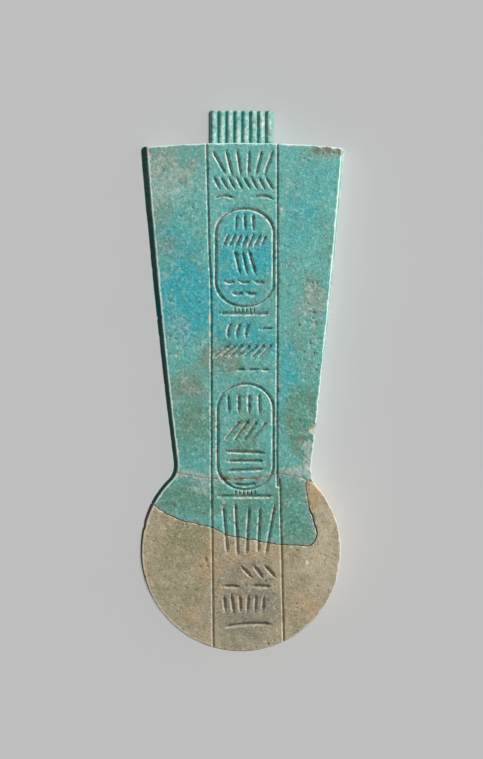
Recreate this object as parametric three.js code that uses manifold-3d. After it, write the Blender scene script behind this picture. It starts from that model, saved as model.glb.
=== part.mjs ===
// Menat counterpoise: a flat, keyhole-shaped pendant of blue-green glazed faience that hung
// down the back as the balance of a heavy bead collar. A flaring blade stands on a round disc,
// and a ribbed tab on the top edge stands for the strands of the collar.
//
// It is mended. The glazed blade and a glazed piece of the shoulder meet along an old break at
// the waist, and an unglazed buff piece completes the disc and runs up its right edge.
//
// Millimetres. The pendant lies on its back: +Z is up through the carved face, +Y runs towards
// the ribbed tab, and the origin is under the middle of the overall length and width.
import * as THREE from "three";
import { mergeVertices } from "three/addons/utils/BufferGeometryUtils.js";
import Module from "manifold-3d";

const wasm = await Module();
wasm.setup();

// Overall sizes
const LENGTH = 140;
const THICKNESS = 8;

// Blade, measured at the rim of the carved face
const BLADE_TOP_HALF = 25.4;
const BLADE_WAIST_HALF = 17.1;
const BLADE_CORNER_Y = 60.5;
const TOP_EDGE_RISE = 1.0;
const SIDE_BOW = 0.4;
const TOP_CORNER_RUN = 0.9;
const WAIST_FILLET_RUN = 3.0;
const RIM_STEPS = { top: 12, corner: 3, side: 10, waist: 5, disc: 60 };

// Disc
const DISC_RADIUS = 25.85;
const DISC_CENTRE_X = -0.75;
const DISC_CENTRE_Y = DISC_RADIUS - LENGTH / 2;

// The sides spread towards the back, most at the top of the blade and hardly at all on the disc
const DRAFT_AT_TOP = 1.3;
const DRAFT_AT_WAIST = 0.65;
const DRAFT_AT_DISC = 0.1;
const RIM_WEAR = 0.45;
const BACK_EDGE = 0.6;

// Ribbed tab
const TAB_HALF = 8.25;
const TAB_CENTRE_X = -0.6;
const TAB_RIBS = 8;
const TAB_BACK_Z = 1.0;
const TAB_VALLEY_Z = 5.6;
const TAB_RIB_RISE = 0.9;
const TAB_ROOT_DEPTH = 3;
const RIB_STEPS = 5;

// Cuts in the carved face
const RULE_HALF_WIDTH = 0.36;
const RULE_DEPTH = 0.4;
const RING_HALF_WIDTH = 0.42;
const RING_DEPTH = 0.45;
const STROKE_HALF_WIDTH = 0.5;
const STROKE_DEPTH = 0.5;
const CUTTER_RISE = 0.4;
const TAPER = 1.1;
const BLUNT_END = 0.25;

// Rules either side of the column of strokes: hand-ruled, so not quite straight
const LEFT_RULE = [[-9.9, 63], [-9.2, 33.9], [-8.7, 20.9], [-8.6, -23.2], [-8.4, -41.4], [-8.1, -72]];
const RIGHT_RULE = [[8.5, 63], [8.5, 20.9], [8.4, -24], [9.1, -26.3], [9.5, -42.7], [10.2, -72]];
const RULE_STEPS = 16;

// Oval rings with a tied bar under each
const UPPER_RING = { x: 0, top: 44.4, bottom: 19.1, half: 7.5, tieLength: 12.5, tieY: 17.3 };
const LOWER_RING = { x: 0.2, top: -0.9, bottom: -28.2, half: 7.2, tieLength: 13.4, tieY: -29.9 };
const RING_END_RISE = 6.4;
const RING_STEPS = 10;
const TIE_HALF_WIDTH = 0.7;
const LASH = { count: 6, half: 2.5, length: 2.2, halfWidth: 0.26, lift: 0.8 };

// Breaks, as lines across the face
const BREAK_GAP = 0.3;
const WAIST_BREAK = [
  [-30, -22.6], [-18.9, -23.6], [-14.2, -24.5], [-7.7, -25.4], [1.4, -25.4], [8.7, -24.2], [14.4, -25.1],
  [18.5, -26.3], [30, -27.6],
];
const FILL_BREAK = [
  [-30, -27.2], [-25.1, -30.7], [-20.7, -34.1], [-15.2, -36.3], [-8.8, -37.7], [-3.9, -40.1], [1.2, -40.9],
  [8.5, -42.3], [14, -42.5], [17.2, -42.6], [18.7, -39.9], [17.8, -35.7], [16.6, -32.1], [15.8, -26.8],
  [16.1, -25.4], [16.2, -18],
];
const FILL_FAR_CORNER = [-30, -18];
const BREAK_STEPS = 44;
const FAR = 90;
const OVERSHOOT = 1;

// A chip out of the right edge of the blade, above the waist
const CHIP = { x: 18.6, y: -12.6, z: THICKNESS, rx: 1.1, ry: 1.2, rz: 1.5 };

const BLADE_TOP_Y = BLADE_CORNER_Y + TOP_EDGE_RISE;
const TAB_TOP_Y = LENGTH / 2;

// Rows of plain strokes, from the top of the column down. Leans are in degrees off upright, and
// the hand that cut them let each length, as a share, and each lean wander a little.
const DASH = 90;
const LENGTH_WANDER = 0.07;
const LEAN_WANDER = 3;
const STROKE_ROWS = [
  { y: 56.3, from: -6.6, to: 6.2, count: 6, length: 6.4, lean: [-26, 22] },
  { y: 51.0, from: -7.2, to: 6.4, count: 8, length: 3.0, lean: [-28, -28] },
  { y: 47.1, from: -5.4, to: 4.8, count: 2, length: 4.6, lean: [DASH, DASH], bow: 0.6 },

  { y: 40.9, from: -2.2, to: 2.2, count: 3, length: 3.6, lean: [0, 0] },
  { y: 36.1, from: -4.9, to: 4.9, count: 7, length: 3.4, lean: [24, 24] },
  { y: 30.6, from: -1.9, to: 1.9, count: 3, length: 5.6, lean: [-14, -14] },
  { y: 25.7, from: -3.8, to: 3.8, count: 3, length: 2.6, lean: [DASH, DASH], bow: -0.4 },
  { y: 22.7, from: -1.8, to: 1.8, count: 2, length: 2.6, lean: [DASH, DASH], bow: -0.4 },

  { y: 13.0, from: -3.8, to: 0.8, count: 3, length: 3.8, lean: [14, 14], bow: 0.4 },
  { y: 13.4, from: 5.7, to: 5.7, count: 1, length: 3.2, lean: [DASH, DASH] },
  { y: 7.6, from: -6.0, to: 5.4, count: 7, length: 5.0, lean: [50, 44] },
  { y: 2.8, from: -1.0, to: 5.2, count: 3, length: 2.4, lean: [DASH, DASH] },

  { y: -5.9, from: -4.2, to: 3.8, count: 4, length: 4.6, lean: [0, 0] },
  { y: -13.0, from: -3.2, to: 3.8, count: 4, length: 6.2, lean: [36, 36] },
  { y: -18.5, from: 0.2, to: 0.2, count: 1, length: 9.4, lean: [DASH, DASH] },
  { y: -20.8, from: 0.2, to: 0.2, count: 1, length: 9.8, lean: [DASH, DASH] },
  { y: -23.1, from: 0.2, to: 0.2, count: 1, length: 9.0, lean: [DASH, DASH] },
  { y: -26.6, from: 0.2, to: 0.2, count: 1, length: 6.0, lean: [DASH, DASH], bow: -0.5 },

  { y: -38.6, from: -5.0, to: 6.6, count: 5, length: 11.8, lean: [-5, 8] },

  { y: -49.4, from: 0.4, to: 6.6, count: 3, length: 3.6, lean: [-40, -40] },
  { y: -53.2, from: -3.4, to: 4.4, count: 2, length: 4.4, lean: [DASH, DASH] },
  { y: -57.6, from: -5.2, to: 4.8, count: 6, length: 3.8, lean: [-8, 8] },
  { y: -63.3, from: 0.9, to: 0.9, count: 1, length: 12, lean: [DASH, DASH], bow: 0.4 },
];

// Conversions between three.js geometry and solids that can be cut and joined

const WELD_DISTANCE = 1e-4;

function solidOf(geometry) {
  const bare = geometry.clone();
  bare.deleteAttribute("normal");
  bare.deleteAttribute("uv");
  const merged = mergeVertices(bare, WELD_DISTANCE);
  return new wasm.Manifold(
    new wasm.Mesh({
      numProp: 3,
      vertProperties: merged.getAttribute("position").array,
      triVerts: new Uint32Array(merged.index.array),
    }),
  );
}

function geometryOf(solid) {
  const mesh = solid.getMesh();
  const geometry = new THREE.BufferGeometry();
  geometry.setAttribute("position", new THREE.BufferAttribute(mesh.vertProperties, 3));
  geometry.setIndex(new THREE.BufferAttribute(mesh.triVerts, 1));
  geometry.computeVertexNormals();
  return geometry;
}

// Closed geometry from rings of vertices that follow one another, with a cap at each end unless
// the rings run round in a circle. Every ring goes anticlockwise seen from the last ring.
function skinOfRings(rings, capTriangles) {
  const size = rings[0].length;
  const positions = rings.flat().flatMap((v) => [v.x, v.y, v.z]);
  const indices = [];
  const joins = capTriangles ? rings.length - 1 : rings.length;
  for (let r = 0; r < joins; r += 1) {
    const here = r * size;
    const next = ((r + 1) % rings.length) * size;
    for (let i = 0; i < size; i += 1) {
      const j = (i + 1) % size;
      indices.push(here + i, here + j, next + j, here + i, next + j, next + i);
    }
  }
  if (capTriangles) {
    const last = (rings.length - 1) * size;
    for (const [a, b, c] of capTriangles(rings[0])) indices.push(a, c, b);
    for (const [a, b, c] of capTriangles(rings.at(-1))) indices.push(last + a, last + b, last + c);
  }
  const geometry = new THREE.BufferGeometry();
  geometry.setAttribute("position", new THREE.Float32BufferAttribute(positions, 3));
  geometry.setIndex(indices);
  return geometry;
}

// The slab

// Points of the rim of the carved face, anticlockwise seen from the front.
function rimPoints() {
  const top = BLADE_TOP_HALF;
  const waist = BLADE_WAIST_HALF;
  const rightAngle = Math.acos((waist - DISC_CENTRE_X) / DISC_RADIUS);
  const leftAngle = Math.acos((-waist - DISC_CENTRE_X) / DISC_RADIUS);
  const onDisc = (angle) =>
    new THREE.Vector2(
      DISC_CENTRE_X + DISC_RADIUS * Math.cos(angle),
      DISC_CENTRE_Y + DISC_RADIUS * Math.sin(angle),
    );
  const filletAngle = WAIST_FILLET_RUN / DISC_RADIUS;

  const archTop = new THREE.Vector2(0, BLADE_TOP_Y);
  const cornerRight = new THREE.Vector2(top, BLADE_CORNER_Y);
  const cornerLeft = new THREE.Vector2(-top, BLADE_CORNER_Y);
  const waistRight = onDisc(rightAngle);
  const waistLeft = onDisc(leftAngle);
  const side = (from, to) => {
    const middle = from.clone().lerp(to, 0.5);
    middle.x += Math.sign(middle.x) * 2 * SIDE_BOW;
    return new THREE.QuadraticBezierCurve(from, middle, to);
  };
  const near = (from, to, run) => from.clone().add(to.clone().sub(from).setLength(run));
  const topFrom = near(cornerRight, archTop, TOP_CORNER_RUN);
  const topTo = near(cornerLeft, archTop, TOP_CORNER_RUN);
  const leftFrom = near(cornerLeft, waistLeft, TOP_CORNER_RUN);
  const leftTo = near(waistLeft, cornerLeft, WAIST_FILLET_RUN);
  const rightFrom = near(waistRight, cornerRight, WAIST_FILLET_RUN);
  const rightTo = near(cornerRight, waistRight, TOP_CORNER_RUN);
  const archControl = new THREE.Vector2(0, BLADE_CORNER_Y + 2 * TOP_EDGE_RISE);
  const discFrom = leftAngle + filletAngle;
  const discTo = rightAngle - filletAngle + 2 * Math.PI;
  const radius = DISC_RADIUS;
  const discArc = new THREE.EllipseCurve(DISC_CENTRE_X, DISC_CENTRE_Y, radius, radius, discFrom, discTo);

  const stretches = [
    [new THREE.QuadraticBezierCurve(topFrom, archControl, topTo), RIM_STEPS.top],
    [new THREE.QuadraticBezierCurve(topTo, cornerLeft, leftFrom), RIM_STEPS.corner],
    [side(leftFrom, leftTo), RIM_STEPS.side],
    [new THREE.QuadraticBezierCurve(leftTo, waistLeft, onDisc(discFrom)), RIM_STEPS.waist],
    [discArc, RIM_STEPS.disc],
    [new THREE.QuadraticBezierCurve(onDisc(discTo), waistRight, rightFrom), RIM_STEPS.waist],
    [side(rightFrom, rightTo), RIM_STEPS.side],
    [new THREE.QuadraticBezierCurve(rightTo, cornerRight, topFrom), RIM_STEPS.corner],
  ];
  return stretches.flatMap(([curve, steps]) => curve.getPoints(steps).slice(0, -1));
}

// Unit normals of a line of points, to the right of its direction of travel.
function normalsOf(points, closed) {
  const last = points.length - 1;
  return points.map((_, i) => {
    const before = points[closed && i === 0 ? last : Math.max(i - 1, 0)];
    const after = points[closed && i === last ? 0 : Math.min(i + 1, last)];
    return new THREE.Vector2(after.y - before.y, before.x - after.x).normalize();
  });
}

// How far the side spreads from the rim to the back at a height on the face.
function draftAt(y, normal) {
  const waistY = DISC_CENTRE_Y + Math.sqrt(DISC_RADIUS ** 2 - BLADE_WAIST_HALF ** 2);
  const side = Math.abs(normal.x);
  if (y > waistY) {
    return side * THREE.MathUtils.mapLinear(y, waistY, BLADE_CORNER_Y, DRAFT_AT_WAIST, DRAFT_AT_TOP);
  }
  const fade = THREE.MathUtils.smoothstep(y, DISC_CENTRE_Y, waistY);
  return side * THREE.MathUtils.lerp(DRAFT_AT_DISC, DRAFT_AT_WAIST, fade);
}

function slab() {
  const rim = rimPoints();
  const normals = normalsOf(rim, true);
  const ring = (z, spread) =>
    rim.map((p, i) => {
      const out = spread(draftAt(p.y, normals[i]));
      return new THREE.Vector3(p.x + normals[i].x * out, p.y + normals[i].y * out, z);
    });
  const rings = [
    ring(0, (draft) => draft - BACK_EDGE),
    ring(BACK_EDGE, (draft) => draft),
    ring(THICKNESS - RIM_WEAR, () => 0),
    ring(THICKNESS, () => -RIM_WEAR),
  ];
  const cap = (edge) => THREE.ShapeUtils.triangulateShape(edge.map((v) => new THREE.Vector2(v.x, v.y)), []);
  return solidOf(skinOfRings(rings, cap));
}

// The tab: a bar whose upper side is a row of half-round ribs, its root inside the blade.
function ribbedTab() {
  const pitch = (2 * TAB_HALF) / TAB_RIBS;
  const section = new THREE.Shape();
  section.moveTo(TAB_CENTRE_X - TAB_HALF, TAB_BACK_Z);
  section.lineTo(TAB_CENTRE_X + TAB_HALF, TAB_BACK_Z);
  for (let rib = TAB_RIBS - 1; rib >= 0; rib -= 1) {
    const middle = TAB_CENTRE_X - TAB_HALF + (rib + 0.5) * pitch;
    for (let step = rib === TAB_RIBS - 1 ? 0 : 1; step <= RIB_STEPS; step += 1) {
      const angle = (step / RIB_STEPS) * Math.PI;
      section.lineTo(middle + Math.cos(angle) * (pitch / 2), TAB_VALLEY_Z + Math.sin(angle) * TAB_RIB_RISE);
    }
  }
  const length = TAB_TOP_Y - BLADE_TOP_Y + TAB_ROOT_DEPTH;
  const bar = new THREE.ExtrudeGeometry(section, { depth: length, bevelEnabled: false });
  bar.rotateX(Math.PI / 2);
  bar.translate(0, TAB_TOP_Y, 0);
  return solidOf(bar);
}

// Cuts

// A tool for a V-shaped cut along points on the face. Open cuts taper at both ends.
function groove(points, halfWidth, depth, closed = false) {
  const normals = normalsOf(points, closed);
  const reach = [0];
  for (let i = 1; i < points.length; i += 1) reach.push(reach[i - 1] + points[i].distanceTo(points[i - 1]));
  const total = reach.at(-1);
  const rings = points.map((p, i) => {
    const fromEnd = Math.min(reach[i], total - reach[i]);
    const share = closed ? 1 : Math.max(BLUNT_END, Math.min(1, fromEnd / TAPER));
    const spread = halfWidth * (share + CUTTER_RISE / depth);
    const lip = (side, z) =>
      new THREE.Vector3(p.x + side * normals[i].x * spread, p.y + side * normals[i].y * spread, z);
    return [
      lip(1, THICKNESS + CUTTER_RISE),
      new THREE.Vector3(p.x, p.y, THICKNESS - depth * share),
      lip(-1, THICKNESS + CUTTER_RISE),
    ];
  });
  return solidOf(skinOfRings(rings, closed ? null : () => [[0, 1, 2]]));
}

function splinePoints(pairs, steps) {
  const curve = new THREE.SplineCurve(pairs.map(([x, y]) => new THREE.Vector2(x, y)));
  return curve.getSpacedPoints(steps);
}

// One stroke: a short cut, bowed sideways by `bow` at its middle.
function stroke(x, y, length, leanDegrees, bow, halfWidth) {
  const lean = THREE.MathUtils.degToRad(leanDegrees);
  const along = new THREE.Vector2(Math.sin(lean), Math.cos(lean));
  const aside = new THREE.Vector2(-along.y, along.x);
  const middle = new THREE.Vector2(x, y);
  const start = middle.clone().addScaledVector(along, -length / 2);
  const end = middle.clone().addScaledVector(along, length / 2);
  const shares = bow === 0 ? [0, TAPER / length, 1 - TAPER / length, 1] : [0, 0.25, 0.5, 0.75, 1];
  const control = middle.clone().addScaledVector(aside, 2 * bow);
  const curve = new THREE.QuadraticBezierCurve(start, control, end);
  return groove(shares.map((t) => curve.getPoint(t)), halfWidth, STROKE_DEPTH);
}

// A repeatable wobble between -1 and 1 for a place on the face.
const wobble = (x, y) => Math.sin(5 * x + y);

function strokeRow({ y, from, to, count, length, lean, bow = 0 }) {
  return Array.from({ length: count }, (_, i) => {
    const share = count > 1 ? i / (count - 1) : 0.5;
    const x = THREE.MathUtils.lerp(from, to, share);
    const cut = length * (1 + LENGTH_WANDER * wobble(x, y));
    const degrees = THREE.MathUtils.lerp(lean[0], lean[1], share) + LEAN_WANDER * wobble(y, x);
    return stroke(x, y, cut, degrees, bow, STROKE_HALF_WIDTH);
  });
}

// An oval ring with straight sides, and the bar tied across its foot.
function ringAndTie({ x, top, bottom, half, tieLength, tieY }) {
  const end = (y, from, to) => new THREE.EllipseCurve(x, y, half, RING_END_RISE, from, to);
  const points = [
    ...end(top - RING_END_RISE, 0, Math.PI).getPoints(RING_STEPS),
    ...end(bottom + RING_END_RISE, Math.PI, 2 * Math.PI).getPoints(RING_STEPS),
  ];
  const lashes = Array.from({ length: LASH.count }, (_, i) => {
    const lashX = x - LASH.half + (2 * LASH.half * i) / (LASH.count - 1);
    return stroke(lashX, tieY + LASH.lift, LASH.length, 0, 0, LASH.halfWidth);
  });
  const bar = stroke(x, tieY, tieLength, DASH, 0, TIE_HALF_WIDTH);
  return [groove(points, RING_HALF_WIDTH, RING_DEPTH, true), bar, ...lashes];
}

function chip() {
  const lump = new THREE.IcosahedronGeometry(1, 1);
  lump.scale(CHIP.rx, CHIP.ry, CHIP.rz);
  lump.translate(CHIP.x, CHIP.y, CHIP.z);
  return solidOf(lump);
}

function carvedBody() {
  const cuts = [
    groove(splinePoints(LEFT_RULE, RULE_STEPS), RULE_HALF_WIDTH, RULE_DEPTH),
    groove(splinePoints(RIGHT_RULE, RULE_STEPS), RULE_HALF_WIDTH, RULE_DEPTH),
    ...ringAndTie(UPPER_RING),
    ...ringAndTie(LOWER_RING),
    ...STROKE_ROWS.flatMap(strokeRow),
    chip(),
  ];
  const carved = cuts.reduce((body, cut) => body.subtract(cut), slab());
  return carved.add(ribbedTab());
}

// Breaks

// Everything on one side of a break: the line moved to its left by `shift`, closed by far corners.
function besideBreak(line, shift, farCorners) {
  const points = splinePoints(line, BREAK_STEPS);
  const normals = normalsOf(points, false);
  const moved = points.map((p, i) => p.clone().addScaledVector(normals[i], -shift));
  const corners = farCorners.map(([x, y]) => new THREE.Vector2(x, y));
  const region = new THREE.ExtrudeGeometry(new THREE.Shape([...moved, ...corners]), {
    depth: THICKNESS + 2 * OVERSHOOT,
    bevelEnabled: false,
  });
  region.translate(0, 0, -OVERSHOOT);
  return solidOf(region);
}

function pieceMesh(name, solid, material) {
  const mesh = new THREE.Mesh(geometryOf(solid), material);
  mesh.name = name;
  return mesh;
}

const glaze = new THREE.MeshStandardMaterial({ color: 0x66a49c, roughness: 0.45, metalness: 0 });
const buff = new THREE.MeshStandardMaterial({ color: 0x9b9480, roughness: 0.85, metalness: 0 });

const half = BREAK_GAP / 2;
const body = carvedBody();
const aboveWaist = besideBreak(WAIST_BREAK, half, [[FAR, FAR], [-FAR, FAR]]);
const belowWaist = besideBreak(WAIST_BREAK, -half, [[FAR, -FAR], [-FAR, -FAR]]);
const lower = body.intersect(belowWaist);
const shoulder = lower.intersect(besideBreak(FILL_BREAK, half, [FILL_FAR_CORNER]));
const fill = lower.subtract(besideBreak(FILL_BREAK, -half, [FILL_FAR_CORNER]));

const counterpoise = new THREE.Group();
counterpoise.add(
  pieceMesh("glazed_blade", body.intersect(aboveWaist), glaze),
  pieceMesh("glazed_shoulder", shoulder, glaze),
  pieceMesh("buff_disc_fill", fill, buff),
);

export default counterpoise;
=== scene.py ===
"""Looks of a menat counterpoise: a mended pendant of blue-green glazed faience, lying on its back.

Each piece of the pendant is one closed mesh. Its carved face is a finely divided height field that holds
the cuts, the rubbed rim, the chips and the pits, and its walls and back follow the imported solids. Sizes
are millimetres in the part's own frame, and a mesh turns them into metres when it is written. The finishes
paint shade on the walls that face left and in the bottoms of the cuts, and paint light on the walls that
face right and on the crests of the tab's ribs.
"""
import logging
import math
from dataclasses import dataclass, field
from enum import Enum

import bpy
import numpy as np
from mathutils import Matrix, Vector
from mathutils.geometry import delaunay_2d_cdt
from mathutils.kdtree import KDTree

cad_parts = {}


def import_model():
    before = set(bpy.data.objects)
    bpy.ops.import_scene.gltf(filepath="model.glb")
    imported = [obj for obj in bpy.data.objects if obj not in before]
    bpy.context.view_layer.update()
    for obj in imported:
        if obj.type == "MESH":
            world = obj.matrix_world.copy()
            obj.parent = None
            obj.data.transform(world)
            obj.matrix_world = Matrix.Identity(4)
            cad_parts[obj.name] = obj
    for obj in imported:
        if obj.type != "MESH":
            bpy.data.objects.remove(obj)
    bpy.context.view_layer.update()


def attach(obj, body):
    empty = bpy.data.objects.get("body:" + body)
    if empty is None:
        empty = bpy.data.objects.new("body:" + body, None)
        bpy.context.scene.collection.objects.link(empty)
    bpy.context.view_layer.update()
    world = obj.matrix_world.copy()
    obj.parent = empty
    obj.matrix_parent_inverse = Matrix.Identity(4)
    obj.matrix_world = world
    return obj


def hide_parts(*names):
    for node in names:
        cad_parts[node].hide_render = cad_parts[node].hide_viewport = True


LOG = logging.getLogger("counterpoise")
MM = 0.001
Array = np.ndarray


class Edge(Enum):
    """Kinds of edge round a piece."""

    RIM = 0
    BREAK = 1
    TAB = 2


class Mask(Enum):
    """What each vertex tells the finishes, from 0 to 1."""

    # Closeness to the bottom of a cut, and the tab's valleys; the finishes darken it with dirt and painted
    # shade.
    CUT = "cut"
    LIP = "lip"
    # Rim and edge wear, plus painted light: pale on the walls that face right and on the tab's rib crests.
    WEAR = "wear"
    SEAM = "seam"
    LOSS = "loss"
    STAIN = "stain"
    BLUE = "blue"
    WARM = "warm"
    GREEN = "green"
    PALE = "pale"
    # Painted shade: dark on the walls that face left.
    SHADE = "shade"


def smooth_step(low: float, high: float, value: Array) -> Array:
    """Eases a value.

    Args:
        low: Where the result is 0.
        high: Where the result is 1.
        value: What is eased.

    Returns:
        A share from 0 to 1 for each value.
    """
    share = np.clip((value - low) / (high - low), 0.0, 1.0)
    return share * share * (3.0 - 2.0 * share)


def quarter_round(distance: Array, radius: Array | float) -> Array:
    """Drop of a rounded edge.

    Args:
        distance: How far inside the edge each place is.
        radius: Radius of the rounding.

    Returns:
        How far the surface has fallen away at each place.
    """
    outside = 1.0 - np.clip(distance / radius, 0.0, 1.0)
    return radius * (1.0 - np.sqrt(1.0 - outside * outside))


def bezier(start: Array, control: Array, end: Array, steps: int) -> Array:
    """Points of a quadratic curve, without its last point.

    Args:
        start: First point.
        control: Point that the curve bends towards.
        end: Last point.
        steps: Number of points.

    Returns:
        The points, one row each.
    """
    t = np.linspace(0.0, 1.0, steps, endpoint=False)[:, None]
    return (1 - t) ** 2 * start + 2 * t * (1 - t) * control + t**2 * end


def catmull_rom(pairs: Array, steps: int) -> Array:
    """Points of a smooth curve through given points.

    Args:
        pairs: The points that it goes through.
        steps: Number of points to make.

    Returns:
        The points of the curve, one row each.
    """
    place = np.linspace(0.0, len(pairs) - 1, steps)
    index = np.minimum(place.astype(int), len(pairs) - 2)
    t = (place - index)[:, None]
    before = pairs[np.maximum(index - 1, 0)]
    here = pairs[index]
    there = pairs[index + 1]
    after = pairs[np.minimum(index + 2, len(pairs) - 1)]
    leave = (there - before) / 2
    arrive = (after - here) / 2
    cubic = (2 * here - 2 * there + leave + arrive) * t**3
    square = (-3 * here + 3 * there - 2 * leave - arrive) * t**2
    return cubic + square + leave * t + here


class Grain:
    """Smooth seeded noise over the face, from -1 to 1."""

    CELLS = 256

    def __init__(self, seed: int) -> None:
        """Fills the lattice.

        Args:
            seed: Sets the pattern.
        """
        draw = np.random.default_rng(seed)
        self.lattice = draw.uniform(-1.0, 1.0, (self.CELLS, self.CELLS))

    def at(self, points: Array, wave: float) -> Array:
        """Reads the noise at places on the face.

        Args:
            points: The places, one row each.
            wave: Distance between neighbouring lattice points.

        Returns:
            One value for each place.
        """
        scaled = points / wave
        cell = np.floor(scaled).astype(int)
        ease = scaled - cell
        ease = ease * ease * (3.0 - 2.0 * ease)
        column, row = (cell % self.CELLS).T
        next_column = (column + 1) % self.CELLS
        next_row = (row + 1) % self.CELLS
        near = self.lattice[column, row] * (1 - ease[:, 0]) + self.lattice[next_column, row] * ease[:, 0]
        far = self.lattice[column, next_row] * (1 - ease[:, 0])
        far = far + self.lattice[next_column, next_row] * ease[:, 0]
        return near * (1 - ease[:, 1]) + far * ease[:, 1]

    def along(self, distance: Array, wave: float) -> Array:
        """Reads the noise along a line.

        Args:
            distance: How far along each place is.
            wave: Distance between neighbouring lattice points.

        Returns:
            One value for each place.
        """
        return self.at(np.column_stack([distance, np.full(len(distance), 0.37 * wave)]), wave)


class Line:
    """A line of points on the face, open or closed."""

    def __init__(self, points: Array, closed: bool = False) -> None:
        """Keeps the points and measures them.

        Args:
            points: The points in order, one row each.
            closed: Whether the last point joins the first.
        """
        self.points = np.asarray(points, float)
        self.closed = closed
        self.ends = np.vstack([self.points, self.points[:1]]) if closed else self.points
        steps = np.linalg.norm(np.diff(self.ends, axis=0), axis=1)
        self.reach = np.concatenate([[0.0], np.cumsum(steps)])

    @property
    def length(self) -> float:
        """The whole length."""
        return float(self.reach[-1])

    def at(self, distance: Array) -> Array:
        """Points at distances along the line."""
        wrapped = np.mod(distance, self.length) if self.closed else distance
        return np.column_stack([np.interp(wrapped, self.reach, self.ends[:, axis]) for axis in (0, 1)])

    def spaced(self, step: float) -> "Line":
        """The same line with points about a step apart."""
        count = max(3, int(round(self.length / step)))
        return Line(self.at(np.linspace(0.0, self.length, count, endpoint=not self.closed)), self.closed)

    def cut(self, start: float, end: float, step: float) -> Array:
        """Takes a stretch of the line.

        Args:
            start: Distance along the line where the stretch starts.
            end: Distance where it ends. On an open line it may lie before the start.
            step: Distance between the points.

        Returns:
            The points of the stretch, with both of its ends.
        """
        if self.closed and end < start:
            end += self.length
        count = max(2, int(round(abs(end - start) / step)) + 1)
        return self.at(np.linspace(start, end, count))

    def normals(self) -> Array:
        """Unit normals to the right of the line's direction.

        Returns:
            One normal for each point.
        """
        if self.closed:
            along = np.roll(self.points, -1, axis=0) - np.roll(self.points, 1, axis=0)
        else:
            along = np.gradient(self.points, axis=0)
        right = np.column_stack([along[:, 1], -along[:, 0]])
        return right / np.maximum(np.linalg.norm(right, axis=1), 1e-9)[:, None]

    def shifted(self, amount: Array | float) -> "Line":
        """The line moved to its right by an amount, one for all or one for each point."""
        sideways = self.normals() * np.reshape(amount, (-1, 1))
        return Line(self.points + sideways, self.closed)

    def nearest(self, points: Array) -> tuple[Array, Array]:
        """Finds the closest place on the line to each of some points.

        Args:
            points: The points, one row each.

        Returns:
            The distance of each point from the line, and how far along the line its closest place is.
        """
        tree = KDTree(len(self.points))
        for index, (x, y) in enumerate(self.points):
            tree.insert((x, y, 0.0), index)
        tree.balance()
        found = np.array([tree.find((x, y, 0.0))[1] for x, y in points], int)
        segments = len(self.ends) - 1
        distance = np.full(len(points), np.inf)
        position = np.zeros(len(points))
        for first in (found - 1, found):
            first = first % segments if self.closed else np.clip(first, 0, segments - 1)
            start = self.ends[first]
            along = self.ends[first + 1] - start
            length = np.maximum(np.linalg.norm(along, axis=1), 1e-9)
            share = np.clip(np.sum((points - start) * along, axis=1) / length**2, 0.0, 1.0)
            gap = np.linalg.norm(points - start - along * share[:, None], axis=1)
            position = np.where(gap < distance, self.reach[first] + share * length, position)
            distance = np.minimum(distance, gap)
        return distance, position


def cross(first: Array, second: Array) -> Array:
    """Cross product of plane vectors."""
    return first[..., 0] * second[..., 1] - first[..., 1] * second[..., 0]


def meeting(first: Line, second: Line, rightmost: bool) -> tuple[float, float]:
    """Finds where two lines cross.

    Args:
        first: One line.
        second: The other line.
        rightmost: Whether to take the crossing furthest to the right, and not to the left.

    Returns:
        How far along each line the crossing is.
    """
    here, step = first.ends[:-1, None], np.diff(first.ends, axis=0)[:, None]
    there, stride = second.ends[None, :-1], np.diff(second.ends, axis=0)[None]
    turn = cross(step, stride)
    turn = np.where(np.abs(turn) < 1e-12, 1e-12, turn)
    share = cross(there - here, stride) / turn
    other = cross(there - here, step) / turn
    rows, columns = np.nonzero((share >= 0) & (share < 1) & (other >= 0) & (other < 1))
    along = first.reach[rows] + share[rows, columns] * np.diff(first.reach)[rows]
    beside = second.reach[columns] + other[rows, columns] * np.diff(second.reach)[columns]
    x = first.at(along)[:, 0]
    pick = int(np.argmax(x) if rightmost else np.argmin(x))
    return float(along[pick]), float(beside[pick])


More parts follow.
